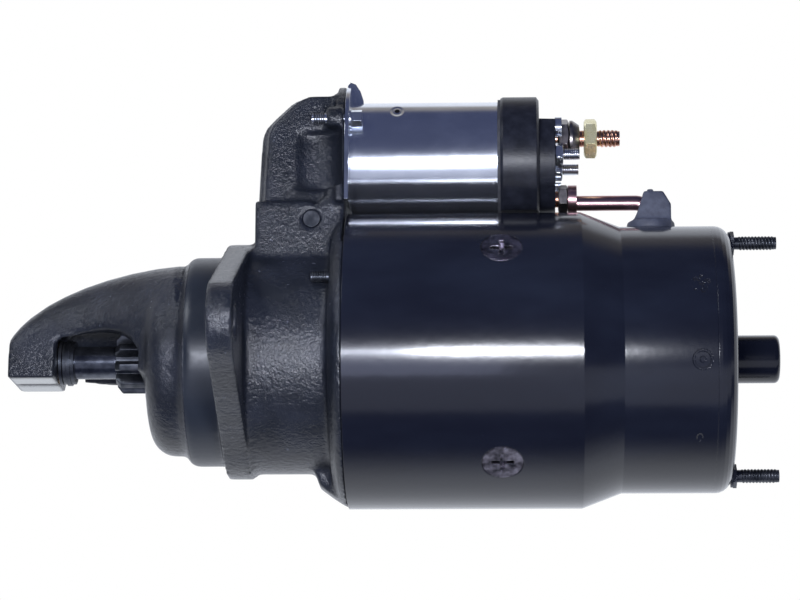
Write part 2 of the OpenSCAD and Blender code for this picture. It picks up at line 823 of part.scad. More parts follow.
module solenoid_case() {
    r = can_d / 2;
    color([0.55, 0.6, 0.7]) above_frame() difference() {
        union() {
            pad_plate(pad_face, plate_x);
            // bent ear that stiffens the top of the flange
            plate_y(14, [
                [pad_face, solenoid_z + 20], [pad_face, solenoid_z + pad_r], [plate_x - 0.5, solenoid_z + pad_r + 1.2],
                [plate_x + 1.5, solenoid_z + pad_r + 0.4], [plate_x + 3.4, solenoid_z + pad_r - 2.6],
                [plate_x + 4.6, solenoid_z + pad_r - 6.4], [plate_x + 4.6, solenoid_z + 20]
            ]);
            rod(pad_face, can_rear, r, 0, solenoid_z);
        }
        rod(plate_x + 1, can_rear + 1, r - can_wall, 0, solenoid_z);
        rod(pad_face - 1, plate_x + 2, plunger_r + slide_gap, 0, solenoid_z);
        for (side = [-1, 1])
            rod(pad_face - 1, plate_x + 1, pad_screw_d / 2 + 0.02, side * pad_screw_y, pad_screw_z);
    }
}

module solenoid_winding() {
    color([0.65, 0.35, 0.18])
        tube(plate_x + 1.2, can_rear - core_disc_t - 0.3, can_d / 2 - can_wall - 0.3,
            plunger_r + slide_gap, 0, solenoid_z);
}

module solenoid_core() {
    color([0.5, 0.5, 0.52]) difference() {
        union() {
            rod(can_rear - core_disc_t, can_rear - 0.2, can_d / 2 - can_wall - eps, 0, solenoid_z);
            rod(core_face, can_rear - 1, plunger_r, 0, solenoid_z);
        }
        rod(core_face - 1, can_rear + 1, rod_r + 0.3, 0, solenoid_z);
    }
}

module solenoid_gasket() {
    color([0.3, 0.32, 0.36]) above_frame()
        tube(can_rear, cap_x, can_d / 2 + 0.9, can_d / 2 - can_wall - 1, 0, solenoid_z);
}

module solenoid_cap() {
    r = cap_d / 2;
    color([0.07, 0.07, 0.08]) above_frame() difference() {
        union() {
            translate([0, 0, solenoid_z]) turned(concat(
                [[0, cap_x], [r - 0.6, cap_x], [r, cap_x + 1], [r, platform_x - 1], [r - 1.4, platform_x]],
                [[r - 3, platform_x], [r - 3.4, platform_rear], [0, platform_rear]]
            ));
        }
        translate([platform_x + eps, -cap_d, battery_z + 3.2]) cube([platform_len + 1, 2 * cap_d, cap_d]);
        rod(cap_x - 1, platform_x - 2, cap_bore_r, 0, solenoid_z);
        for (z = [battery_z, motor_z])
            rod(cap_x, platform_rear + 1, terminal_d / 2 + 0.02, 0, z);
        for (side = [-1, 1]) rod(cap_x, platform_rear + 1, switch_d / 2 + 0.02, side * switch_y, switch_z);
    }
}

module cap_screws() {
    x0 = platform_rear;
    color([0.55, 0.58, 0.62]) for (side = [-1, 1]) difference() {
        rod(x0, x0 + 2.6, 3.8, side * 13.5, solenoid_z - side * 9.5);
        translate([x0 + 1.4, side * 13.5 - 3, solenoid_z - side * 9.5 - 0.6]) cube([2, 6, 1.2]);
    }
}

module solenoid_screws() {
    color([0.6, 0.62, 0.66]) for (side = [-1, 1]) {
        rod(pad_x - pad_screw_out, plate_x + 1, pad_screw_d / 2, side * pad_screw_y, pad_screw_z);
        hex(plate_x + 0.9, plate_x + 5, 6, side * pad_screw_y, pad_screw_z);
    }
}

module screw_washers() {
    color([0.5, 0.52, 0.55]) for (side = [-1, 1])
        tube(plate_x, plate_x + 0.9, 3.6, pad_screw_d / 2, side * pad_screw_y, pad_screw_z);
}

module battery_terminal() {
    color([0.72, 0.42, 0.27]) {
        rod(head_x, head_x + head_t, battery_head_r, 0, battery_z);
        rod(head_x + 1, battery_end - tip_len + eps, terminal_d / 2, 0, battery_z);
        rod(battery_end - tip_len, battery_end, terminal_d / 2 - tip_step, 0, battery_z);
    }
}

module battery_jam_nut() {
    x0 = platform_rear + nut_gap;
    color([0.45, 0.45, 0.42]) difference() {
        hex(x0, x0 + 4.4, 13.8, 0, battery_z);
        rod(x0 - 1, x0 + 6, terminal_d / 2 + eps, 0, battery_z);
    }
}

module battery_washers() {
    x0 = platform_rear + nut_gap + 4.4;
    color([0.35, 0.33, 0.32]) translate([0, 0, battery_z]) turned([
        [terminal_d / 2 + eps, x0], [7.2, x0 + 0.3], [7.2, x0 + 1.4],
        [5.4, x0 + 4], [terminal_d / 2 + eps, x0 + 4.3]
    ]);
}

module battery_nut() {
    x0 = battery_end - tip_len - battery_nut_t;
    color([0.8, 0.72, 0.4]) difference() {
        hex(x0, x0 + battery_nut_t, 13.8, 0, battery_z);
        rod(x0 - 1, x0 + 7, terminal_d / 2 + eps, 0, battery_z);
    }
}

module motor_terminal() {
    color([0.72, 0.42, 0.27]) {
        rod(head_x, head_x + head_t, motor_head_r, 0, motor_z);
        rod(head_x + 1, motor_end, terminal_d / 2, 0, motor_z);
    }
}

module motor_nut() {
    x0 = platform_rear + nut_gap;
    color([0.45, 0.48, 0.52]) difference() {
        hex(x0, x0 + 3.7, 10, 0, motor_z);
        rod(x0 - 1, x0 + 6, terminal_d / 2 + eps, 0, motor_z);
    }
}

module switch_terminals() {
    color([0.6, 0.6, 0.58]) for (side = [-1, 1])
        rod(cap_x + cap_len - 1, platform_rear + 9.5, switch_d / 2, side * switch_y, switch_z);
}

module switch_nuts() {
    x0 = platform_rear;
    color([0.5, 0.5, 0.5]) for (side = [-1, 1]) difference() {
        hex(x0, x0 + 3.2, 8, side * switch_y, switch_z);
        rod(x0 - 1, x0 + 6, switch_d / 2 + eps, side * switch_y, switch_z);
    }
}

// ------------------------------------------------------- plunger and lever

module plunger() {
    color([0.6, 0.6, 0.62]) difference() {
        rod(plunger_front, plunger_rear, plunger_r, 0, solenoid_z);
        // slot for the lever and cross hole for the link pin
        translate([plunger_front - 1, -lever_t / 2 - 0.5, solenoid_z - plunger_r - 1])
            cube([21, lever_t + 1, 2 * plunger_r + 2]);
        cross_rod(link_x, solenoid_z, link_pin_d / 2, 40);
        rod(plunger_rear - spring_seat, plunger_rear + 1, 8, 0, solenoid_z);
    }
}

module link_pin() {
    color([0.4, 0.4, 0.42]) cross_rod(link_x, solenoid_z, link_pin_d / 2, 2 * plunger_r - 5);
}

module plunger_spring() {
    color([0.5, 0.5, 0.52])
        coil_spring(plunger_rear - spring_seat + 0.1, core_face - 0.1, 6.4, 0.55, 6, solenoid_z);
}

module contact_rod() {
    color([0.75, 0.7, 0.55]) {
        rod(core_face + 1.2, disc_x + disc_t + 6, rod_r, 0, solenoid_z);
        rod(disc_x - 2, disc_x, rod_r + 2, 0, solenoid_z);
    }
}

module contact_disc() {
    color([0.75, 0.45, 0.28]) tube(disc_x, disc_x + disc_t, disc_r, rod_r, 0, solenoid_z);
}

module contact_spring() {
    color([0.5, 0.5, 0.52])
        coil_spring(disc_x + disc_t + 0.05, platform_x - 2.1, contact_coil_r, contact_wire_r, 4, solenoid_z);
}

// Blade above, fork below; upright, then tipped to its rest position
module shift_lever() {
    top = solenoid_z + 4.2;
    half = lever_w / 2;
    slot = link_pin_d / 2 + 0.25;
    color([0.3, 0.3, 0.32])
    translate([pivot_x, 0, pivot_z]) rotate([0, -swing, 0]) translate([-pivot_x, 0, -pivot_z])
    difference() {
        union() {
            plate_y(lever_t, [
                [pivot_x - half, fork_top - 4], [pivot_x - half - 1, pivot_z], [pivot_x - half + 0.5, top],
                [pivot_x + half - 0.5, top], [pivot_x + half + 1, pivot_z], [pivot_x + half, fork_top - 4]
            ]);
            cross_rod(pivot_x, pivot_z, pin_d / 2 + 3.2, slot_w - 1);
            plate_y(2 * (fork_in + fork_t), [
                [pivot_x - half, fork_top - 6], [pivot_x - half, fork_top],
                [pivot_x + half, fork_top], [pivot_x + half, fork_top - 6]
            ]);
            for (side = [-1, 1]) translate([0, side * (fork_in + fork_t / 2), 0]) {
                plate_y(fork_t, [
                    [pivot_x - half, fork_top - 2], [pivot_x - 4, -4],
                    [pivot_x + 4, -4], [pivot_x + half, fork_top - 2]
                ]);
            }
            for (side = [-1, 1]) {
                inner = groove_r + 0.5;
                mid = (inner + fork_in + 1) / 2;
                translate([0, side * mid, 0])
                    cross_rod(pivot_x, 0, groove_w / 2 - shoe_gap, fork_in + 1 - inner);
            }
        }
        cross_rod(pivot_x, pivot_z, pin_d / 2 + run_gap, slot_w + 5);
        // open slot that the link pin rides in
        plate_y(lever_t + 2, [
            [pivot_x - slot, solenoid_z - slot - 0.6], [pivot_x + slot, solenoid_z - slot - 0.6],
            [pivot_x + slot, top + 5], [pivot_x - slot, top + 5]
        ]);
    }
}

// ---------------------------------------------------------------- armature

module armature_shaft() {
    spline_front = clutch_x - 6;
    spline_rear = core_x - 4;
    body_r = spline_d / 2 + 0.6;
    color([0.62, 0.63, 0.66]) {
        rod(shaft_front, spline_front + 1, journal_d / 2);
        rod(spline_front, spline_rear + 1, spline_d / 2);
        rod(spline_rear, commutator_x + commutator_len + 2, body_r);
        rod(commutator_x + commutator_len + 1, shaft_rear, journal_d / 2);
    }
}

module armature_core() {
    teeth = bars;
    color([0.4, 0.4, 0.42]) difference() {
        rod(core_x, core_x + core_len, core_d / 2);
        rod(core_x - 1, core_x + core_len + 1, spline_d / 2 + 0.6);
        for (k = [0 : teeth - 1]) around(360 * k / teeth)
            translate([core_x - 1, -1.6, core_d / 2 - 9]) cube([core_len + 2, 3.2, 10]);
    }
}

// Bars in the core's slots, joined by a wound head at each end
module armature_winding() {
    body_r = spline_d / 2 + 0.6;
    head_out = core_d / 2 - 3;
    color([0.65, 0.35, 0.18]) {
        for (k = [0 : bars - 1]) around(360 * k / bars)
            translate([core_x - 2, -1.5, core_d / 2 - 8.8]) cube([core_len + 4, 3, 7]);
        turned([
            [body_r + 4, core_x - 8], [head_out - 3, core_x - 9], [head_out, core_x - 6],
            [head_out, core_x - eps], [body_r + 4, core_x - eps]
        ]);
        turned([
            [body_r + 4, core_x + core_len + eps], [head_out, core_x + core_len + eps],
            [head_out, core_x + core_len + 6], [commutator_d / 2, commutator_x - 0.5],
            [body_r + 4, commutator_x - 0.5]
        ]);
    }
}

module commutator() {
    gap = 0.7 * 360 / (PI * commutator_d);
    each_turn = 360 / bars;
    color([0.72, 0.42, 0.27]) for (k = [0 : bars - 1])
        rotate([k * each_turn, 0, 0]) rotate([0, 90, 0])
            rotate_extrude(angle = each_turn - gap) polygon([
                [commutator_d / 2 - 5, commutator_x], [commutator_d / 2, commutator_x],
                [commutator_d / 2, commutator_x + commutator_len],
                [commutator_d / 2 - 5, commutator_x + commutator_len]
            ]);
}

module commutator_hub() {
    color([0.3, 0.2, 0.14]) tube(commutator_x, commutator_x + commutator_len,
        commutator_d / 2 - 5.02, spline_d / 2 + 0.6);
}

module stop_collar() {
    color([0.45, 0.45, 0.48]) {
        tube(stop_x, stop_x + stop_len, journal_d / 2 + 2, journal_d / 2);
        tube(stop_x + 1.4, stop_x + 3, journal_d / 2 + 2.6, journal_d / 2 + 1.5);
    }
}

module thrust_washers() {
    rear = end_face - end_t - 1.4;
    color([0.4, 0.33, 0.25]) {
        tube(block_rear + 0.2, block_rear + 1.4, journal_d / 2 + 2.4, journal_d / 2);
        tube(rear, rear + 1.2, journal_d / 2 + 4, journal_d / 2);
    }
}

// ------------------------------------------------------------------- drive

module shift_collar() {
    x0 = groove_x - groove_w / 2 - collar_side;
    x1 = groove_x + groove_w / 2 + collar_side;
    bore = sleeve_d / 2 + run_gap;
    color([0.42, 0.42, 0.45]) turned([
        [bore, x0], [collar_r, x0], [collar_r, x0 + collar_side], [groove_r, x0 + collar_side],
        [groove_r, x1 - collar_side], [collar_r, x1 - collar_side], [collar_r, x1], [bore, x1]
    ]);
}

module collar_ring() {
    x0 = groove_x + groove_w / 2 + collar_side + 0.1;
    color([0.35, 0.35, 0.37]) tube(x0, x0 + 1.4, sleeve_d / 2 + 1.4, sleeve_d / 2 + run_gap);
}

module meshing_spring() {
    x1 = groove_x - groove_w / 2 - collar_side - 0.1;
    color([0.5, 0.5, 0.52]) coil_spring(clutch_rear + 0.2, x1, sleeve_d / 2 + 2.2, 1.1, 5);
}

module clutch_sleeve() {
    color([0.5, 0.5, 0.53]) tube(clutch_rear - 3, sleeve_rear, sleeve_d / 2, spline_d / 2 + run_gap);
}

module clutch_shell() {
    r = clutch_d / 2;
    color([0.4, 0.4, 0.43]) difference() {
        turned([
            [pinion_hub_r + 0.4, clutch_x], [r - 2, clutch_x], [r, clutch_x + 2],
            [r, clutch_rear - 2], [r - 2, clutch_rear], [sleeve_d / 2, clutch_rear], [sleeve_d / 2, clutch_rear - 3],
            [spline_d / 2 + 0.4, clutch_rear - 3], [spline_d / 2 + 0.4, clutch_rear - 4.4],
            [race_r + roller_d + 0.1, clutch_rear - 4.4], [race_r + roller_d + 0.1, clutch_x + 3],
            [pinion_hub_r + 0.4, clutch_x + 3]
        ]);
    }
}

module clutch_rollers() {
    mid = race_r + roller_d / 2 + 0.05;
    color([0.7, 0.7, 0.72]) for (k = [0 : 3]) around(90 * k)
        rod(clutch_x + 3.4, clutch_rear - 4.8, roller_d / 2 - 0.04, 0, mid);
}

// Tooth flanks narrow from root to tip; a short chamfer leads each tooth in
function tooth_points(root, tip, n) =
    [for (k = [0 : n - 1], p = [[root, -0.34], [tip, -0.15], [tip, 0.15], [root, 0.34]])
        let (a = 360 * (k + p[1]) / n) [p[0] * cos(a), p[0] * sin(a)]];

module pinion() {
    tip = pinion_d / 2;
    root = tip - 4.7;
    color([0.36, 0.37, 0.4]) difference() {
        union() {
            translate([pinion_x, 0, 0]) rotate([90, 0, 90])
                linear_extrude(pinion_len) polygon(tooth_points(root, tip, pinion_teeth));
            rod(pinion_x, clutch_rear - 5, pinion_hub_r - 1.3);
            rod(pinion_rear - eps, clutch_x + 4, pinion_hub_r);
            rod(clutch_x + 3.4, clutch_rear - 4.8, race_r);
        }
        rod(pinion_x - 1, clutch_rear, journal_d / 2 + run_gap);
        rod(clutch_x - 7, clutch_rear, spline_d / 2 + 0.2);
        // lead-in at the front edge of the teeth
        difference() {
            rod(pinion_x - 1, pinion_x + 2, tip + 1);
            turned([[0, pinion_x - 1.1], [tip - 3, pinion_x - 1.1], [tip, pinion_x + 2.1], [0, pinion_x + 2.1]]);
        }
    }
}

drive_housing();
nose_bushing();
lever_pivot_pin();
frame_dowels();
field_frame();
pole_shoes();
pole_screws();
field_coils();
end_frame();
end_bushing();
through_bolts();
bolt_washers();
brush_posts();
field_lead();
lead_boot();
solenoid_case();
solenoid_winding();
solenoid_core();
solenoid_gasket();
solenoid_cap();
cap_screws();
solenoid_screws();
screw_washers();
battery_terminal();
battery_jam_nut();
battery_washers();
battery_nut();
motor_terminal();
motor_nut();
switch_terminals();
switch_nuts();
plunger();
link_pin();
plunger_spring();
contact_disc();
contact_rod();
contact_spring();
shift_lever();
armature_shaft();
armature_core();
armature_winding();
commutator();
commutator_hub();
stop_collar();
thrust_washers();
shift_collar();
collar_ring();
meshing_spring();
clutch_sleeve();
clutch_shell();
clutch_rollers();
pinion();
brush_arm_1();
brush_arm_2();
brush_arm_3();
brush_arm_4();
brush_1();
brush_2();
brush_3();
brush_4();
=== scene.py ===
# %% [markdown]
# A starter motor turns an engine over until it fires. A solenoid on its back pulls a plunger, the plunger
# swings a lever, and the lever slides a small pinion out of the nose into the engine's ring gear while the
# big motor behind it spins. The pieces arrive here as a frame of exact solids, each riding on the body
# that moves it. This lesson gives them their surfaces, and remakes the pieces whose looks need more than
# an exact solid has: soft cast edges, screw threads, chamfered nuts, coil springs and gear teeth.

import json
import math

import bmesh
import bpy
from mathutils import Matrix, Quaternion, Vector


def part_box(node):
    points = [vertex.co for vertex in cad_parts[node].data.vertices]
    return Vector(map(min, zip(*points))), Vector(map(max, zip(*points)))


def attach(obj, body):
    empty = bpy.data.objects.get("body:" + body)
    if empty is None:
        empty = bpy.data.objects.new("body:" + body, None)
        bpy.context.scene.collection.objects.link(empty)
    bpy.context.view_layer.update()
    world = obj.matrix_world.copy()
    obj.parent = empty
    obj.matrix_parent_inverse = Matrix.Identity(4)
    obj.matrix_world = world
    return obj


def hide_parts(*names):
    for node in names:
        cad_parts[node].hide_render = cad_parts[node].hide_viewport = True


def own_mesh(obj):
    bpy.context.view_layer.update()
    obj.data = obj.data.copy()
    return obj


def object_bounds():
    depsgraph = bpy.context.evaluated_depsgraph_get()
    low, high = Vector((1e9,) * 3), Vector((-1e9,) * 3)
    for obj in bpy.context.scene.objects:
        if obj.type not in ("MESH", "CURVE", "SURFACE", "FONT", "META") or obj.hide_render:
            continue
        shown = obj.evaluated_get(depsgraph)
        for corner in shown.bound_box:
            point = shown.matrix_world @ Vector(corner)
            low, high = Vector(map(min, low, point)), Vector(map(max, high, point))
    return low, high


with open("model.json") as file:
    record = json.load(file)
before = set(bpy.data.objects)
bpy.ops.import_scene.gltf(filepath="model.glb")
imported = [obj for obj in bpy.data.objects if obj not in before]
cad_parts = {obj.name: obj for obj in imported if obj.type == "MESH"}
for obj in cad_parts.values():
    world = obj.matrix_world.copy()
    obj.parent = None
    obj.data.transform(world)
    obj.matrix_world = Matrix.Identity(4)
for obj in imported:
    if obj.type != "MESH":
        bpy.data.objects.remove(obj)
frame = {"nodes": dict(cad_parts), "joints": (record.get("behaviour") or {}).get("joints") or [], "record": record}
CAD_LOW, CAD_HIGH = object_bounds()
NODES = frame["nodes"]
BODIES = frame["record"]["behaviour"]["bodies"]
BODY_OF = {node: body for body, members in BODIES.items() for node in members}
MM = 0.001
print("nodes", len(NODES), "size in mm", [round(s / MM, 1) for s in CAD_HIGH - CAD_LOW])

# %% [markdown]
# Both finishes and Geometry Nodes are graphs of small boxes. Clicking them together is fine for one, but
# twenty finishes read better as sums. A Wire stands for one output, and adding or multiplying wires lays
# down the Math boxes. Every other box comes from one method, which sets the box's own settings first and
# its sockets after.

# %% A wire that can be added and multiplied
class Wire:
    def __init__(self, graph, socket):
        self.graph, self.socket = graph, socket

    def math(self, operation, *values):
        return self.graph.node("ShaderNodeMath", {"operation": operation}, dict(enumerate(values)))

    def __add__(self, other):
        return self.math("ADD", self, other)

    def __sub__(self, other):
        return self.math("SUBTRACT", self, other)

    def __rsub__(self, other):
        return self.math("SUBTRACT", other, self)

    def __mul__(self, other):
        return self.math("MULTIPLY", self, other)

    def __truediv__(self, other):
        return self.math("DIVIDE", self, other)

    def __neg__(self):
        return self.math("MULTIPLY", self, -1.0)

    def __abs__(self):
        return self.math("ABSOLUTE", self)

    __radd__, __rmul__ = __add__, __mul__

    def low(self, other):
        return self.math("MINIMUM", self, other)

    def high(self, other):
        return self.math("MAXIMUM", self, other)

    def apply(self, operation):
        """One of the Math box's operations on a single value, such as SINE, SQRT or FRACT."""
        return self.math(operation, self)

    def rise(self, start, end):
        """0 before start, 1 after end, and a soft step between them."""
        return self.graph.node("ShaderNodeMapRange", {"interpolation_type": "SMOOTHSTEP"},
                               {"Value": self, "From Min": start, "From Max": end})

    def fall(self, start, end):
        """1 before start, 0 after end, and a soft step between them."""
        return 1.0 - self.rise(start, end)

    def band(self, start, end, soft):
        """1 between start and end, with soft edges."""
        return self.rise(start - soft, start) * self.fall(end, end + soft)


# %% A graph with one way to add a node
MIX_MASK, MIX_UNDER, MIX_OVER, MIX_COLOUR = 0, 6, 7, 2  # the sockets of a Mix node that mixes colours


class Graph:
    def __init__(self, tree):
        self.tree = tree

    def node(self, kind, settings=None, inputs=None, output=0):
        made = self.tree.nodes.new(kind)
        for name, value in (settings or {}).items():
            if name == "items":
                already = len(made.index_switch_items)
                for _ in range(value - already):
                    made.index_switch_items.new()
            else:
                setattr(made, name, value)
        for key, value in (inputs or {}).items():
            if isinstance(value, Wire):
                self.tree.links.new(value.socket, made.inputs[key])
            else:
                made.inputs[key].default_value = value
        return Wire(self, made.outputs[output])

    def parts(self, vector):
        first = self.node("ShaderNodeSeparateXYZ", None, {0: vector})
        return [Wire(self, out) for out in first.socket.node.outputs]

    def mix(self, mask, under, over):
        """The colour under where mask is 0 and over where it is 1, each a wire or three numbers."""
        under, over = (c if isinstance(c, Wire) else (*c, 1) for c in (under, over))
        return self.node("ShaderNodeMix", {"data_type": "RGBA"},
                         {MIX_MASK: mask, MIX_UNDER: under, MIX_OVER: over}, MIX_COLOUR)


# %% [markdown]
# Every finish starts from the same Principled shader and from Object coordinates, which are metres in the
# motor's own frame: a grain of one millimetre is a noise of scale 1000, wherever the piece sits. A worn or
# machined patch is a mask worked out from where the point is. Real edges are never knife sharp, so most
# finishes read the normal through a small bevel, which catches the light along each edge.

# %% The start of every finish
class Finish(Graph):
    def __init__(self, name, edge=0.0, **constants):
        self.material = bpy.data.materials.get(name) or bpy.data.materials.new(name)
        self.material.use_nodes = True
        super().__init__(self.material.node_tree)
        self.tree.nodes.clear()
        self.shader = self.tree.nodes.new("ShaderNodeBsdfPrincipled")
        self.out = self.tree.nodes.new("ShaderNodeOutputMaterial")
        self.tree.links.new(self.shader.outputs[0], self.out.inputs["Surface"])
        self.place = self.node("ShaderNodeTexCoord", output="Object")
        self.x, self.y, self.z = self.parts(self.place)
        self.edge = edge
        for socket, value in constants.items():
            self.shader.inputs[socket.replace("_", " ")].default_value = value
        print("finish", name)

    def feed(self, socket, wire):
        self.tree.links.new(wire.socket, self.shader.inputs[socket])

    def noise(self, size, detail, rough, stretch=(1, 1, 1)):
        """A noise from 0 to 1 whose cells are about size millimetres, longer where stretch is above 1."""
        place = self.node("ShaderNodeMapping", {"vector_type": "POINT"},
                          {"Vector": self.place, "Scale": tuple(1 / s for s in stretch)})
        return self.node("ShaderNodeTexNoise", None,
                         {"Vector": place, "Scale": 1 / (size * MM), "Detail": detail, "Roughness": rough})

    def pits(self, size):
        """How far the point is from the nearest of many seeds, which lie about size millimetres apart."""
        return self.node("ShaderNodeTexVoronoi", {"feature": "F1"},
                         {"Vector": self.place, "Scale": 1 / (size * MM)}, "Distance")

    def relief(self, height, depth):
        """Bump whose height wire, 0 to 1, is depth millimetres deep."""
        inputs = {"Height": height, "Distance": depth * MM, "Strength": 1.0}
        if self.edge:
            inputs["Normal"] = self.node("ShaderNodeBevel", {"samples": 4}, {"Radius": self.edge * MM})
        self.feed("Normal", self.node("ShaderNodeBump", None, inputs))

    def away(self, **centre):
        """Distance in metres from the line whose two coordinates are given in millimetres."""
        squares = [step * step for step in (getattr(self, axis) - at * MM for axis, at in centre.items())]
        return (squares[0] + squares[1]).apply("SQRT")


# %% [markdown]
# The drive housing is cast in a sand mould and sprayed satin black. The sand leaves a grain of about two
# millimetres with finer pits on it, and the paint pools over it, so light breaks into small glints; a scatter
# of bright specks in the colour adds painted glints on top. Where it was cut on a lathe, at the pilot, it is
# smooth under the same paint, and the underside of the nose block was milled after painting, so bare iron
# shows there. Four pairs of places, in metres, say where those two patches fade in.

# %% Satin black on rough cast iron
PILOT_SKIN = (0.0396, 0.0400)
PILOT_LENGTH = (-0.0150, -0.0012)
NOSE_UNDERSIDE = (-0.00875, -0.0083)
NOSE_BLOCK_REAR = (-0.0668, -0.0662)
cast = Finish("cast_black")
grain = cast.noise(1.7, 4, 0.62)
fine = cast.noise(0.5, 2, 0.5)
patches = cast.noise(16, 3, 0.5)
pilot = cast.away(y=0, z=0).rise(*PILOT_SKIN) * cast.x.band(*PILOT_LENGTH, 0.0008)
bare = cast.z.fall(*NOSE_UNDERSIDE) * cast.x.fall(*NOSE_BLOCK_REAR)
smooth = pilot.high(bare)
# Painted glints: bright specks in the base colour wherever the noise peaks.
painted_glint = cast.noise(2.6, 2, 0.6).rise(0.71, 0.75)
tone = cast.mix(patches.rise(0.3, 0.75), (0.009, 0.011, 0.016), (0.019, 0.022, 0.032))
tone = cast.mix(painted_glint * 0.5, tone, (0.12, 0.13, 0.17))
tone = cast.mix(pilot, tone, (0.020, 0.025, 0.035))
tone = cast.mix(bare, tone, (0.42, 0.43, 0.42))
cast.feed("Base Color", tone)
cast.feed("Metallic", bare * 0.85)
cast.feed("Roughness", 0.13 + grain * 0.16 + patches * 0.06 + pilot * 0.10)
cast.relief((grain * 0.8 + fine * 0.2) * (1.0 - smooth * 0.95), 0.6)

# %% [markdown]
# The field frame and the end frame are smooth steel under gloss black. Gloss paint is two things: a dark
# colour and a clear, slightly wavy skin. The wave, called orange peel, is wide and very shallow. A few
# stamped marks near the commutator end tell the assembler how the frame was turned; here they are a plain
# ring with a dot in it, a second dot and a round patch of scratches, all on the side that has negative Y.

# %% Gloss black on smooth steel
DOT_EDGE = (0.0009, 0.0013)
gloss = Finish("gloss_black", edge=0.5, Coat_Weight=0.15, Coat_Roughness=0.05, Specular_IOR_Level=0.5)
peel = gloss.noise(3.2, 2, 0.4)
haze = gloss.noise(38, 4, 0.6, stretch=(2.5, 1, 1))
dust = gloss.noise(1.1, 2, 0.7).rise(0.76, 0.79)
ring_away = gloss.away(x=179.6, z=-9.9)
ring_mark = ring_away.band(0.0031, 0.0036, 0.0003) + ring_away.fall(*DOT_EDGE)
dot_mark = gloss.away(x=178.8, z=-36.5).fall(*DOT_EDGE)
scratches = gloss.away(x=179.6, z=19.3).fall(0.0034, 0.0038) * gloss.noise(1.6, 1, 0.3).rise(0.52, 0.6)
marks = (ring_mark + dot_mark + scratches * 0.8).low(1.0) * gloss.y.fall(-0.004, 0.0)
gloss.feed("Base Color", gloss.mix((haze.rise(0.35, 0.8) + dust * 0.5).low(1.0),
                                   (0.006, 0.007, 0.013), (0.012, 0.015, 0.026)))
gloss.feed("Roughness", 0.13 + haze * 0.09 + dust * 0.2)
gloss.relief(peel * 0.16 + gloss.noise(30, 2, 0.5) * 0.5 - marks * 3.4, 0.14)

# %% [markdown]
# The solenoid can is deep-drawn steel with a bright zinc plate: nearly a mirror, with faint cloudy patches
# where the plate took differently and hairline scuffs from handling. Its colour is all reflection, so the
# shader is almost fully metallic and the detail lives in the roughness. One small punched dimple is on the
# same side as the stamped marks; the hole in it is not cut, and its shade is painted as a dark disc.

# %% Bright zinc plate on drawn steel
plated = Finish("plated_steel", edge=0.4, Metallic=0.97)
clouds = plated.noise(9, 4, 0.65, stretch=(1.6, 1, 1))
scuffs = plated.noise(0.5, 2, 0.6, stretch=(18, 1, 1)).rise(0.55, 0.8)
punch_away = plated.away(x=65.4, z=95.8)
punch_side = plated.y.fall(-0.004, -0.001)
dimple = punch_away.fall(0.0016, 0.0030) * punch_side
# Painted shade: a dark disc where the hole would be dark inside.
hole_shade = punch_away.fall(0.0009, 0.0011) * punch_side
plate_tone = plated.mix(clouds.rise(0.35, 0.75), (0.70, 0.73, 0.79), (0.80, 0.83, 0.88))
plated.feed("Base Color", plated.mix(hole_shade, plate_tone, (0.02, 0.02, 0.03)))
plated.feed("Roughness", 0.13 + clouds * 0.08 + scuffs * 0.02)
plated.relief(clouds * 0.05 - dimple * 3.0 + plated.noise(14, 2, 0.5) * 0.12, 0.12)

# %% [markdown]
# The rest of the steel differs in tone and polish, so one function makes it all. Turned and ground steel
# has fine rings from the tool. Hardened and blackened steel, as on the pinion, the springs and the bolts,
# is dark, and so is the shaft under its film of oil. The pole screws are black and rubbed bright in spots,
# the jam nuts are dull grey-brown, and the armature's laminations are grey.

# %% Ground, dark, oiled and polished steel
def steel(name, tones, roughness, relief=0.02, metal=1.0, edge=0.25):
    made = Finish(name, edge=edge, Metallic=metal)
    cloud = made.noise(5, 4, 0.6)
    rings = made.noise(0.28, 2, 0.5, stretch=(1, 30, 30))
    made.feed("Base Color", made.mix(cloud.rise(0.3, 0.75), *tones))
    made.feed("Roughness", roughness + cloud * 0.14 + rings * 0.08)
    made.relief(rings * 0.6 + cloud * 0.4, relief)


steel("machined_steel", ((0.36, 0.37, 0.40), (0.55, 0.56, 0.58)), 0.16)
steel("dark_steel", ((0.045, 0.05, 0.06), (0.13, 0.135, 0.15)), 0.26, relief=0.04, metal=0.9)
steel("oiled_shaft", ((0.05, 0.055, 0.07), (0.15, 0.16, 0.19)), 0.13, metal=0.9)
steel("polished_black", ((0.02, 0.02, 0.028), (0.30, 0.28, 0.33)), 0.07, relief=0.18, metal=0.9, edge=0.7)
steel("terminal_dark", ((0.17, 0.165, 0.17), (0.38, 0.34, 0.33)), 0.22, relief=0.03)
steel("lamination", ((0.16, 0.17, 0.20), (0.28, 0.29, 0.31)), 0.34, relief=0.05)

# %% [markdown]
# Copper carries the current: the terminal studs, the field lead and the contact disc. Bare copper darkens
# to brown in patches and shows pink where it was rubbed; the lead is duller, with a purple sheen. The
# battery nut is plated in yellow zinc, whose tint drifts within one nut. The bushings are sintered bronze,
# a pressed powder full of oil-filled pores.

# %% Copper, yellow zinc and bronze
def warm_metal(name, dull, bright, roughness, cell=3.0, pores=0.0, metal=1.0):
    made = Finish(name, edge=0.25, Metallic=metal)
    cloud = made.noise(cell, 4, 0.62)
    made.feed("Base Color", made.mix(cloud.rise(0.32, 0.7), dull, bright))
    made.feed("Roughness", roughness + (1.0 - cloud) * 0.2)
    made.relief(cloud * 0.5 + made.pits(0.35) * pores, 0.04)


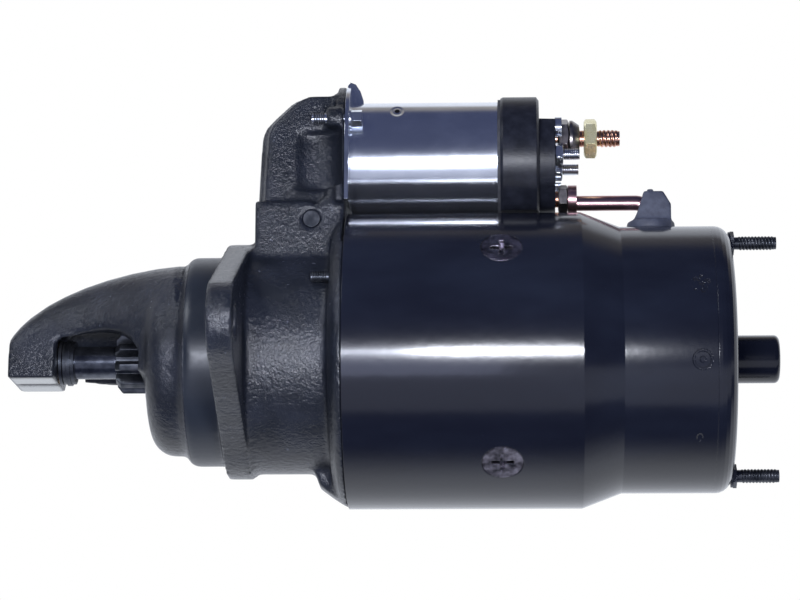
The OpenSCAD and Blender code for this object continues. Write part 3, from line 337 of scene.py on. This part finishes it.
warm_metal("copper", (0.42, 0.20, 0.13), (0.90, 0.53, 0.40), 0.16)
warm_metal("yellow_zinc", (0.74, 0.66, 0.34), (0.96, 0.90, 0.58), 0.18, cell=4.0, metal=0.7)
warm_metal("lead_copper", (0.38, 0.23, 0.25), (0.60, 0.38, 0.39), 0.20, cell=12.0)
warm_metal("bronze", (0.40, 0.26, 0.11), (0.66, 0.47, 0.24), 0.30, cell=2.0, pores=1.0)

# %% [markdown]
# The cap that holds the terminals is moulded phenolic: black, hard, with a satin face and faint flow
# lines. The boot is grey-blue rubber, the gasket compressed fibre and the brushes pressed carbon, all matt
# with a dusty bloom. None of them is metallic, so their colour is the base colour and the roughness does
# the rest.

# %% Moulded plastic, rubber, carbon and fibre
def matt(name, tones, roughness, cell, depth, edge=0.2, shine=0.5):
    made = Finish(name, edge=edge, Specular_IOR_Level=shine)
    bloom = made.noise(cell * 6, 4, 0.6)
    skin = made.noise(cell, 3, 0.6)
    made.feed("Base Color", made.mix(bloom.rise(0.3, 0.75), *tones))
    made.feed("Roughness", roughness + bloom * 0.15 + skin * 0.08)
    made.relief(skin, depth)


matt("cap_plastic", ((0.008, 0.009, 0.014), (0.018, 0.020, 0.030)), 0.24, 0.9, 0.04, edge=0.5, shine=0.3)
matt("boot_rubber", ((0.050, 0.056, 0.085), (0.085, 0.095, 0.135)), 0.42, 0.6, 0.05, edge=0.8)
matt("gasket", ((0.030, 0.032, 0.040), (0.060, 0.062, 0.070)), 0.60, 0.5, 0.08)
matt("carbon", ((0.030, 0.027, 0.025), (0.075, 0.060, 0.052)), 0.40, 0.35, 0.05)
matt("fibre", ((0.10, 0.055, 0.030), (0.17, 0.10, 0.055)), 0.50, 0.6, 0.05)

# %% [markdown]
# Windings are lacquered copper wire laid side by side. The solids are plain, so the turns are drawn as a
# wave across them, with dark varnish in the valleys. At scale 1 the bands of a Wave Texture are a
# twentieth of tau apart, in metres, which gives the scale for any other distance.

# %% Lacquered copper windings
BAND_AT_SCALE_1 = math.tau / 20
WIRE_PITCH = 3.158 * MM
winding = Finish("winding", edge=0.3, Coat_Weight=0.5, Coat_Roughness=0.15)
lay = winding.node("ShaderNodeTexWave",
                   {"wave_type": "BANDS", "bands_direction": "X", "wave_profile": "SIN"},
                   {"Vector": winding.place, "Scale": BAND_AT_SCALE_1 / WIRE_PITCH, "Distortion": 1.2,
                    "Detail": 1.0})
winding.feed("Base Color", winding.mix(lay, (0.07, 0.025, 0.012), (0.50, 0.20, 0.08)))
winding.feed("Metallic", lay * 0.5)
winding.feed("Roughness", 0.45 - lay * 0.15)
winding.relief(lay, 0.5)

# %% [markdown]
# Some pieces are remade from the exact solid. Its mesh is loose triangles, so a copy is merged first. A
# made piece takes the place of the solid: it rides on the same body, takes the same finish and stands for
# the node.

# %% Merged meshes, pieces and the solids inside a node
def merged(mesh):
    work = bmesh.new()
    work.from_mesh(mesh)
    bmesh.ops.remove_doubles(work, verts=work.verts, dist=1e-6)
    return work


def piece(name, mesh, slot, body, *stands_for):
    obj = bpy.data.objects.new(name, mesh)
    bpy.context.scene.collection.objects.link(obj)
    mesh.materials.clear()
    mesh.materials.append(bpy.data.materials[slot])
    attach(obj, body)
    if stands_for:
        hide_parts(*stands_for)
    print(name, "faces", len(mesh.polygons), "on", body)
    return obj


def solids_of(node):
    """The box of each separate solid in a node, from the lowest x, then y, then z."""
    work = merged(NODES[node].data)
    seen, boxes = set(), []
    for start in work.verts:
        if start in seen:
            continue
        seen.add(start)
        group, queue = [], [start]
        while queue:
            here = queue.pop()
            group.append(here.co.copy())
            for link in here.link_edges:
                other = link.other_vert(here)
                if other not in seen:
                    seen.add(other)
                    queue.append(other)
        boxes.append((Vector(map(min, zip(*group))), Vector(map(max, zip(*group)))))
    work.free()
    return sorted(boxes, key=lambda pair: [round(c, 5) for c in pair[0]])


# %% [markdown]
# A casting has no sharp corner: the pattern has fillets so that the sand holds and the iron flows. A voxel
# remesh rebuilds the housing from cells about a millimetre wide, and a few rounds of smoothing then soften
# every corner at once, inside and out, which bevelling a part this busy could not do.

# %% The cast housing with soft edges
def softened(node, cell, factor, rounds):
    """A copy of a node, rebuilt from cells of this many millimetres and smoothed."""
    mesh = NODES[node].data.copy()
    work = merged(mesh)
    work.to_mesh(mesh)
    work.free()
    obj = bpy.data.objects.new("work", mesh)
    bpy.context.scene.collection.objects.link(obj)
    remesh = obj.modifiers.new("cells", "REMESH")
    remesh.mode, remesh.voxel_size, remesh.use_smooth_shade = "VOXEL", cell * MM, True
    smoothing = obj.modifiers.new("smoothing", "SMOOTH")
    smoothing.factor, smoothing.iterations = factor, rounds
    view = bpy.context.evaluated_depsgraph_get()
    result = bpy.data.meshes.new_from_object(obj.evaluated_get(view))
    bpy.data.objects.remove(obj)
    return result


piece("drive_housing_cast", softened("drive_housing", 1.15, 0.5, 3), "cast_black", "root", "drive_housing")

# %% [markdown]
# The rubber boot is moulded in one piece round the lead, and rubber will not hold an edge at all. The same
# remesh with finer cells and more smoothing gives it its soft shoulders. A few pieces keep their exact
# solids, but take another finish than the rest of their metal: the pole screws and the lead have one of
# their own.

# %% The boot, and finishes for single pieces
piece("lead_boot_soft", softened("lead_boot", 0.45, 0.6, 9), "boot_rubber", "root", "lead_boot")
OWN_FINISH = {"pole_screws": "polished_black", "field_lead": "lead_copper", "armature_shaft": "oiled_shaft",
              "frame_dowels": "dark_steel", "solenoid_screws": "plated_steel"}
for node, finish in OWN_FINISH.items():
    for holder in NODES[node].material_slots:
        holder.material = bpy.data.materials[finish]
    print(node, "wears", finish)

# %% [markdown]
# Threads, nuts, coils and teeth all follow a rule, and Geometry Nodes state a rule once for every size.
# Most of the trees here share one idea: a flat grid, whose rows run along the axis and whose columns run
# round it, is rolled up by a Set Position node. The socket of each named input is looked up by its
# identifier before the result is read.

# %% Building a Geometry Nodes tree and running it
class Roller(Graph):
    def __init__(self, name, **sizes):
        tree = bpy.data.node_groups.new(name, "GeometryNodeTree")
        super().__init__(tree)
        tree.interface.new_socket("Geometry", in_out="OUTPUT", socket_type="NodeSocketGeometry")
        for size, default in sizes.items():
            kind = "NodeSocketInt" if isinstance(default, int) else "NodeSocketFloat"
            tree.interface.new_socket(size, in_out="INPUT", socket_type=kind).default_value = default
        tree.interface.new_socket("Finish", in_out="INPUT", socket_type="NodeSocketMaterial")
        self.given = tree.nodes.new("NodeGroupInput")
        self.wires = {size: Wire(self, self.given.outputs[size]) for size in sizes}
        self.out = tree.nodes.new("NodeGroupOutput")

    def grid(self, rows, sides):
        """A grid of rows by sides, with each point's share of the length and its share of a turn."""
        columns = sides + 1
        grid = self.node("GeometryNodeMeshGrid", None,
                         {"Size X": 1.0, "Size Y": 1.0, "Vertices X": rows, "Vertices Y": columns})
        x, y, _ = self.parts(self.node("GeometryNodeInputPosition"))
        return grid, x + 0.5, y + 0.5

    def choose(self, row, *values):
        """The value whose number is row."""
        picks = {str(number): value for number, value in enumerate(values)}
        return self.node("GeometryNodeIndexSwitch", {"data_type": "FLOAT", "items": len(values)},
                         {"Index": row, **picks})

    def roll(self, grid, along, radius, turn, side=0.0, up=0.0):
        angle = turn * math.tau
        point = self.node("ShaderNodeCombineXYZ", None, {
            "X": along, "Y": radius * angle.apply("COSINE") + side, "Z": up - radius * angle.apply("SINE")})
        return self.node("GeometryNodeSetPosition", None, {"Geometry": grid, "Position": point})

    def finish(self, skin):
        closed = self.node("GeometryNodeMergeByDistance", None, {"Geometry": skin, "Distance": 1e-6})
        real = self.node("GeometryNodeRealizeInstances", None, {"Geometry": closed})
        last = self.node("GeometryNodeSetMaterial", None,
                         {"Geometry": real, "Material": Wire(self, self.given.outputs["Finish"])})
        self.tree.links.new(last.socket, self.out.inputs[0])

    def run(self, slot, sharp, **values):
        """Runs the tree once with these sizes and returns a plain mesh, sharp past this many degrees."""
        obj = bpy.data.objects.new("run", bpy.data.meshes.new("run"))
        bpy.context.scene.collection.objects.link(obj)
        modifier = obj.modifiers.new("rule", "NODES")
        items = self.tree.interface.items_tree
        named = {item.name: item.identifier for item in items if item.in_out == "INPUT"}
        modifier.node_group = self.tree
        modifier[named["Finish"]] = bpy.data.materials[slot]
        for name, value in values.items():
            modifier[named[name]] = value
        view = bpy.context.evaluated_depsgraph_get()
        mesh = bpy.data.meshes.new_from_object(obj.evaluated_get(view))
        obj.modifiers.remove(modifier)
        bpy.data.objects.remove(obj)
        mesh.shade_smooth()
        mesh.set_sharp_from_angle(angle=math.radians(sharp))
        return mesh


def joined(meshes):
    work = bmesh.new()
    for mesh in meshes:
        work.from_mesh(mesh)
    result = bpy.data.meshes.new("joined")
    work.to_mesh(result)
    work.free()
    return result


# %% [markdown]
# A thread is a ridge that climbs one pitch in each turn. On the rolled grid that is one line of
# arithmetic: the share of a turn and the distance along the stud are added, and what is left over a whole
# pitch shapes the ridge. The ridge fades out over the first and last pitch, as a rolled thread does.

# %% The thread tree
THREAD_SIDES, ROWS_IN_A_PITCH, DEPTH_IN_PITCHES = 36, 9, 0.30
thread = Roller("screw_thread", Start=0.0, Length=0.01, Radius=0.002, Pitch=0.001, Depth=0.0002, Side=0.0,
                Up=0.0, Rows=80)
g = thread.wires
grid, along, turn = thread.grid(g["Rows"], THREAD_SIDES)
distance = along * g["Length"]
left = (distance / g["Pitch"] + turn).apply("FRACT")
ridge = ((1.0 - abs(left * 2.0 - 1.0)) * 1.5).low(1.0)
fade = (distance.low(g["Length"] - distance) / g["Pitch"]).low(1.0)
thread.finish(thread.roll(grid, g["Start"] + distance, g["Radius"] + g["Depth"] * ridge * fade, turn,
                          g["Side"], g["Up"]))


def thread_on(solid, slot, start, end, radius, pitch):
    """A thread round a stud, from start to end along X in millimetres, centred on a solid's box."""
    low, high = solid
    length = (end - start) * MM
    return thread.run(slot, 60.0, Start=start * MM, Length=length, Radius=radius * MM, Pitch=pitch * MM,
                      Depth=pitch * DEPTH_IN_PITCHES * MM, Side=(low.y + high.y) / 2,
                      Up=(low.z + high.z) / 2, Rows=int(length / (pitch * MM) * ROWS_IN_A_PITCH) + 2)


# %% [markdown]
# Each stud's thread runs between pieces that the frame already places, so its ends are read from their
# boxes. Its radius is a little less than the stud's, so the floor of each groove is the stud itself and
# only the ridge stands out of it.

# %% Threads on every stud that shows one
def front(node):
    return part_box(node)[0].x / MM


def rear(node):
    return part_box(node)[1].x / MM


def threads(name, node, slot, *cuts):
    """Threads on each solid of a node. A cut is its start, end, radius and pitch in millimetres."""
    made = [thread_on(solid, slot, *cut) for cut in cuts for solid in solids_of(node)]
    return piece(name, joined(made), slot, "root")


bolt_tip, stud_tip, post_tip = rear("through_bolts"), rear("battery_terminal"), rear("switch_terminals")
screw_tip, dowel_tip = front("solenoid_screws"), front("frame_dowels")
threads("bolt_threads", "through_bolts", "dark_steel", (bolt_tip - 15.2, bolt_tip - 0.3, 2.29, 1.27))
threads("battery_thread", "battery_terminal", "copper",
        (rear("battery_nut") + 0.1, stud_tip - 0.2, 2.91, 1.6),
        (rear("battery_washers") + 0.05, front("battery_nut") - 0.05, 3.13, 1.27))
threads("motor_thread", "motor_terminal", "copper",
        (rear("motor_nut") + 0.05, rear("motor_terminal") - 0.1, 3.13, 1.0))
threads("switch_threads", "switch_terminals", "plated_steel",
        (rear("switch_nuts") + 0.05, post_tip - 0.1, 2.03, 0.8))
threads("pad_screw_threads", "solenoid_screws", "dark_steel", (screw_tip + 0.1, screw_tip + 5.4, 1.91, 0.9))
threads("dowel_threads", "frame_dowels", "dark_steel", (dowel_tip + 0.1, dowel_tip + 6.3, 1.91, 0.9))

# %% [markdown]
# A hexagon nut is turned before its flats are cut, so its corners are rounded off by a cone: each corner
# sits lower than the middle of the flats beside it. On the rolled grid that is six rows, chosen with an
# Index Switch: bore, chamfer, upper edge, lower edge, chamfer, bore.

# %% The nut tree
NUT_ROWS, NUT_SIDES = 6, 96
CHAMFER_IN_FLATS, CHAMFER_SLOPE = 0.475, 0.55
nut = Roller("hex_nut", Start=0.0, Length=0.004, Flats=0.010, Bore=0.003, Side=0.0, Up=0.0)
g = nut.wires
grid, along, turn = nut.grid(NUT_ROWS, NUT_SIDES)
row = (along * (NUT_ROWS - 1.0)).apply("ROUND")
swing = ((turn * 6.0 + 0.5).apply("FRACT") - 0.5) * (math.tau / 6)
corner = g["Flats"] * 0.5 / swing.apply("COSINE")
chamfer = g["Flats"] * CHAMFER_IN_FLATS
drop = (corner - chamfer) * CHAMFER_SLOPE
reach = nut.choose(row, g["Bore"], chamfer, corner, corner, chamfer, g["Bore"])
step = nut.choose(row, 0.0, 0.0, drop, g["Length"] - drop, g["Length"], g["Length"])
nut.finish(nut.roll(grid, g["Start"] + step, reach, turn, g["Side"], g["Up"]))


def nut_for(solid, slot, bore):
    """A chamfered nut that fills a solid's box, its flats as far apart as the box is narrow."""
    low, high = solid
    size = high - low
    return nut.run(slot, 28.0, Start=low.x, Length=size.x, Flats=min(size.y, size.z), Bore=bore * MM,
                   Side=(low.y + high.y) / 2, Up=(low.z + high.z) / 2)


# %% The nuts
for node, slot, bore in (("battery_nut", "yellow_zinc", 3.1), ("battery_jam_nut", "terminal_dark", 3.1),
                         ("motor_nut", "terminal_dark", 3.1), ("switch_nuts", "plated_steel", 2.0)):
    nuts = joined([nut_for(solid, slot, bore) for solid in solids_of(node)])
    piece(node + "_made", nuts, slot, "root", node)

# %% [markdown]
# The pinion is a gear: one tooth shape repeated round the axis. The radius of its skin is a function of
# the angle, a tooth wave that rises from root to tip with softened corners. The same rolled grid then
# carries on as the hub and the race inside the clutch, so the whole pinion is one closed skin.

# %% The pinion, its hub and its race
TEETH, SIDES_IN_A_TOOTH, PINION_ROWS = 9, 32, 14
BORE, SPLINE_BORE, HUB, RACE = 6.4 * MM, 8.2 * MM, 9 * MM, 12 * MM
gear = Roller("pinion_gear", Front=-0.0435, Teeth=TEETH, Tip=0.012, Root=0.0073, Face=0.018)
g = gear.wires
grid, along, turn = gear.grid(PINION_ROWS, TEETH * SIDES_IN_A_TOOTH)
row = (along * (PINION_ROWS - 1.0)).apply("ROUND")
off_centre = abs((turn * g["Teeth"] + 0.5).apply("FRACT") - 0.5)
flank = (1.0 - (off_centre - 0.15) / 0.19).low(1.0).high(0.0)
flank = flank * 0.45 + flank.rise(0.0, 1.0) * 0.55
tooth = g["Root"] + (g["Tip"] - g["Root"]) * flank
hub_front, race_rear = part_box("pinion")[0].x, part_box("pinion")[1].x
clutch_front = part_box("clutch_shell")[0].x
race_front = clutch_front + 3.4 * MM
spline_front = clutch_front - 7 * MM
tooth_rear = g["Front"] + g["Face"]
profile = [
    (g["Front"], BORE), (g["Front"], tooth.low(g["Tip"] - 2.4 * MM)),
    (g["Front"] + 1.6 * MM, tooth.low(g["Tip"] - 0.4 * MM)), (g["Front"] + 2.1 * MM, tooth),
    (tooth_rear - 0.6 * MM, tooth), (tooth_rear, tooth.low(g["Tip"] - 0.6 * MM)),
    (tooth_rear, HUB), (race_front, HUB), (race_front, RACE), (race_rear, RACE),
    (race_rear, SPLINE_BORE), (spline_front, SPLINE_BORE), (spline_front, BORE), (g["Front"], BORE),
]
places, radii = zip(*profile)
gear.finish(gear.roll(grid, gear.choose(row, *places), gear.choose(row, *radii), turn))
piece("pinion_made", gear.run("dark_steel", 35.0, Front=hub_front), "dark_steel", "pinion", "pinion")

# %% [markdown]
# Coil springs are a circle carried along a helix: a Curve Spiral and a Curve to Mesh. The ends of the real
# springs are ground flat, but these sit hidden between two faces, so plain ends do. The plunger's spring
# and the contact's spring get meshes of their own, and the share of its length that each would close to is
# printed; the coil itself keeps its full length.

# %% Coil springs
STEPS_IN_A_COIL, WIRE_SIDES = 24, 10
coil = Roller("coil_spring", Start=0.0, Length=0.02, Radius=0.006, Wire=0.0005, Turns=6.0, Up=0.0)
g = coil.wires
spiral = coil.node("GeometryNodeCurveSpiral", None,
                   {"Resolution": STEPS_IN_A_COIL, "Rotations": g["Turns"], "Start Radius": g["Radius"],
                    "End Radius": g["Radius"], "Height": g["Length"] - g["Wire"] * 2.0})
wire = coil.node("GeometryNodeCurvePrimitiveCircle", None, {"Resolution": WIRE_SIDES, "Radius": g["Wire"]})
tube = coil.node("GeometryNodeCurveToMesh", None, {"Curve": spiral, "Profile Curve": wire, "Fill Caps": True})
x, y, z = coil.parts(coil.node("GeometryNodeInputPosition"))
laid = coil.node("ShaderNodeCombineXYZ", None, {"X": g["Start"] + g["Wire"] + z, "Y": y, "Z": g["Up"] - x})
coil.finish(coil.node("GeometryNodeSetPosition", None, {"Geometry": tube, "Position": laid}))


def spring_for(node, wire, turns):
    """A coil in a node's box, of wire with this radius in millimetres."""
    low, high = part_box(node)
    made = coil.run("dark_steel", 60.0, Start=low.x, Length=high.x - low.x, Wire=wire * MM, Turns=turns,
                    Radius=(high.y - low.y) / 2 - wire * MM, Up=(low.z + high.z) / 2)
    return piece(node + "_made", made, "dark_steel", BODY_OF[node], node)


def shorten(spring, node, joint):
    """Gives the spring a mesh of its own and prints the share of its length left by the joint's travel."""
    low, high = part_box(node)
    travel = max(abs(end) for end in next(j for j in frame["joints"] if j["name"] == joint)["range_m"])
    keep = 1.0 - travel / (high.x - low.x)
    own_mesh(spring)
    print(node, "closes to", round(keep, 2), "of its length")


spring_for("meshing_spring", 1.1, 5.0)
shorten(spring_for("plunger_spring", 0.55, 6.0), "plunger_spring", "plunger_slide")
shorten(spring_for("contact_spring", 0.4, 4.0), "contact_spring", "contact_slide")

# %% [markdown]
# The motor rests on a pale floor under soft light. The floor shows from above only, so that a view from
# below sees the motor and not the floor's underside: its back is transparent. It is left out of
# reflections, shadows and bounced light as well, because the room around the motor is made for those.

# %% The floor
FLOOR_REACH, FLOOR_GAP = 2.0, 0.2 * MM
floor_mesh = bpy.data.meshes.new("floor")
corners = [(x * FLOOR_REACH, y * FLOOR_REACH, CAD_LOW.z - FLOOR_GAP)
           for x, y in ((-1, -1), (1, -1), (1, 1), (-1, 1))]
floor_mesh.from_pydata(corners, [], [(0, 1, 2, 3)])
floor = bpy.data.objects.new("floor", floor_mesh)
bpy.context.scene.collection.objects.link(floor)
pale = Finish("floor_paper", Roughness=0.8)
pale.feed("Base Color", pale.mix(pale.noise(60, 2, 0.5), (0.80, 0.80, 0.81), (0.84, 0.84, 0.85)))
under = pale.node("ShaderNodeNewGeometry", output="Backfacing")
clear = pale.node("ShaderNodeBsdfTransparent")
shown = pale.node("ShaderNodeMixShader", None, {0: under, 1: Wire(pale, pale.shader.outputs[0]), 2: clear})
pale.tree.links.new(shown.socket, pale.out.inputs["Surface"])
floor_mesh.materials.append(pale.material)
floor.visible_glossy = floor.visible_diffuse = floor.visible_shadow = False

# %% [markdown]
# Gloss paint and plate are seen by what they reflect, so the room is chosen for that. In front and
# overhead it is a dark blue, with a pale table low in front. Under the motor it is bright, and behind it a
# grey wall begins just past overhead and turns bright further back. A sky colour can do all this, as a
# function of the angle round the motor's length: 0 is towards negative Y, a quarter turn is up and half a
# turn is towards positive Y. The camera itself sees plain white.

# %% The surroundings
BELOW, TABLE, TABLE_EDGE = (-2.05, -1.35), (-0.82, -0.36), 0.12
GREY_WALL, BRIGHT_WALL = (1.65, 1.95), (2.02, 2.22)
world = bpy.data.worlds.new("room")
world.use_nodes = True
bpy.context.scene.world = world
room = Graph(world.node_tree)
world.node_tree.nodes.clear()
_, depth, height = room.parts(room.node("ShaderNodeTexCoord", output="Generated"))
angle = height.math("ARCTAN2", height, -depth)
lit = room.mix(angle.band(*TABLE, TABLE_EDGE), (0.040, 0.052, 0.120), (0.50, 0.53, 0.66))
lit = room.mix(angle.rise(*GREY_WALL), lit, (0.30, 0.28, 0.27))
lit = room.mix(angle.rise(*BRIGHT_WALL).high(angle.fall(*BELOW)), lit, (0.92, 0.96, 1.05))
eye = room.node("ShaderNodeLightPath", output="Is Camera Ray")
sky = room.node("ShaderNodeBackground", None, {"Color": room.mix(eye, lit, (1, 1, 1)), "Strength": 1.0})
world_out = world.node_tree.nodes.new("ShaderNodeOutputWorld")
world.node_tree.links.new(sky.socket, world_out.inputs["Surface"])
print("room", len(world.node_tree.nodes), "nodes")

# %% [markdown]
# Four small strips stand close in front of the motor, a little below its axis. They draw the bright line
# along the frame, its faint tail and the light on the nose, and a wide faint one glows below it. Light
# linking keeps them off the floor, where they would leave a hot spot. Two large soft lamps do the rest,
# from the upper left and from overhead, and the one overhead is left out of reflections.

# %% Lamps
def lamp(name, at, toward, size, power, colour=(1, 1, 1)):
    data = bpy.data.lights.new(name, "AREA")
    data.shape, data.size, data.size_y = "RECTANGLE", *size
    data.energy, data.color = power, colour
    obj = bpy.data.objects.new(name, data)
    bpy.context.scene.collection.objects.link(obj)
    obj.location = at
    obj.rotation_mode = "QUATERNION"
    obj.rotation_quaternion = (Vector(toward) - Vector(at)).to_track_quat("-Z", "Y")
    obj.visible_camera = False
    print("lamp", name, power, "W")
    return obj


AIM = Vector((0.066, 0, 0.0243))
STRIP_Y, STRIP_Z, STRIP_AIM_Z = -0.39, -0.031, -0.010
unlit = bpy.data.collections.new("unlit_by_strips")
unlit.objects.link(floor)
unlit.collection_objects[0].light_linking.link_state = "EXCLUDE"


def strip(name, x, size, power, colour, y=STRIP_Y, z=STRIP_Z):
    lamp(name, (x, y, z), (x, 0, STRIP_AIM_Z), size, power, colour).light_linking.receiver_collection = unlit


def around_motor(azimuth, elevation, distance):
    """The point at this distance from the aim, by two angles in degrees from the direction of negative Y."""
    a, e = math.radians(azimuth), math.radians(elevation)
    return AIM + distance * Vector((math.sin(a) * math.cos(e), -math.cos(a) * math.cos(e), math.sin(e)))


strip("strip", 0.1065, (0.087, 0.025), 0.95, (0.88, 0.91, 1.0))
strip("strip_tail", 0.0315, (0.063, 0.022), 0.10, (0.80, 0.85, 1.0))
strip("strip_nose", -0.0300, (0.060, 0.032), 0.50, (0.84, 0.88, 1.0))
strip("strip_glow", 0.025, (0.16, 0.114), 0.11, (0.62, 0.68, 1.0), y=STRIP_Y - 0.01, z=-0.095)
lamp("upper_left", around_motor(-48, 38, 1.2), AIM, (0.5, 0.35), 3.5, (0.90, 0.94, 1.0))
overhead = lamp("overhead", (0.05, 0.1, 1.4), (0.05, 0, 0), (1.2, 1.2), 7)
overhead.visible_glossy = False

# %% [markdown]
# A long lens from a metre away keeps the cylinders straight, with the eye a little below the axis. The
# camera is rolled by a fraction of a degree, because the motor was not set down perfectly level.

# %% The camera
SENSOR_WIDTH, LENS = 36, 126.3
CAMERA_AZIMUTH, CAMERA_ELEVATION, CAMERA_DISTANCE = 2.4, -12.5, 1.092
CAMERA_ROLL = math.radians(0.15)
camera_data = bpy.data.cameras.new("camera")
camera_data.sensor_width, camera_data.lens = SENSOR_WIDTH, LENS
camera = bpy.data.objects.new("camera", camera_data)
bpy.context.scene.collection.objects.link(camera)
camera.location = around_motor(CAMERA_AZIMUTH, CAMERA_ELEVATION, CAMERA_DISTANCE)
camera.rotation_mode = "QUATERNION"
level = (AIM - camera.location).to_track_quat("-Z", "Y")
camera.rotation_quaternion = level @ Quaternion((0, 0, 1), CAMERA_ROLL)
bpy.context.scene.camera = camera
bpy.context.scene.view_settings.view_transform = "Standard"
print("camera at", [round(c, 3) for c in camera.location])
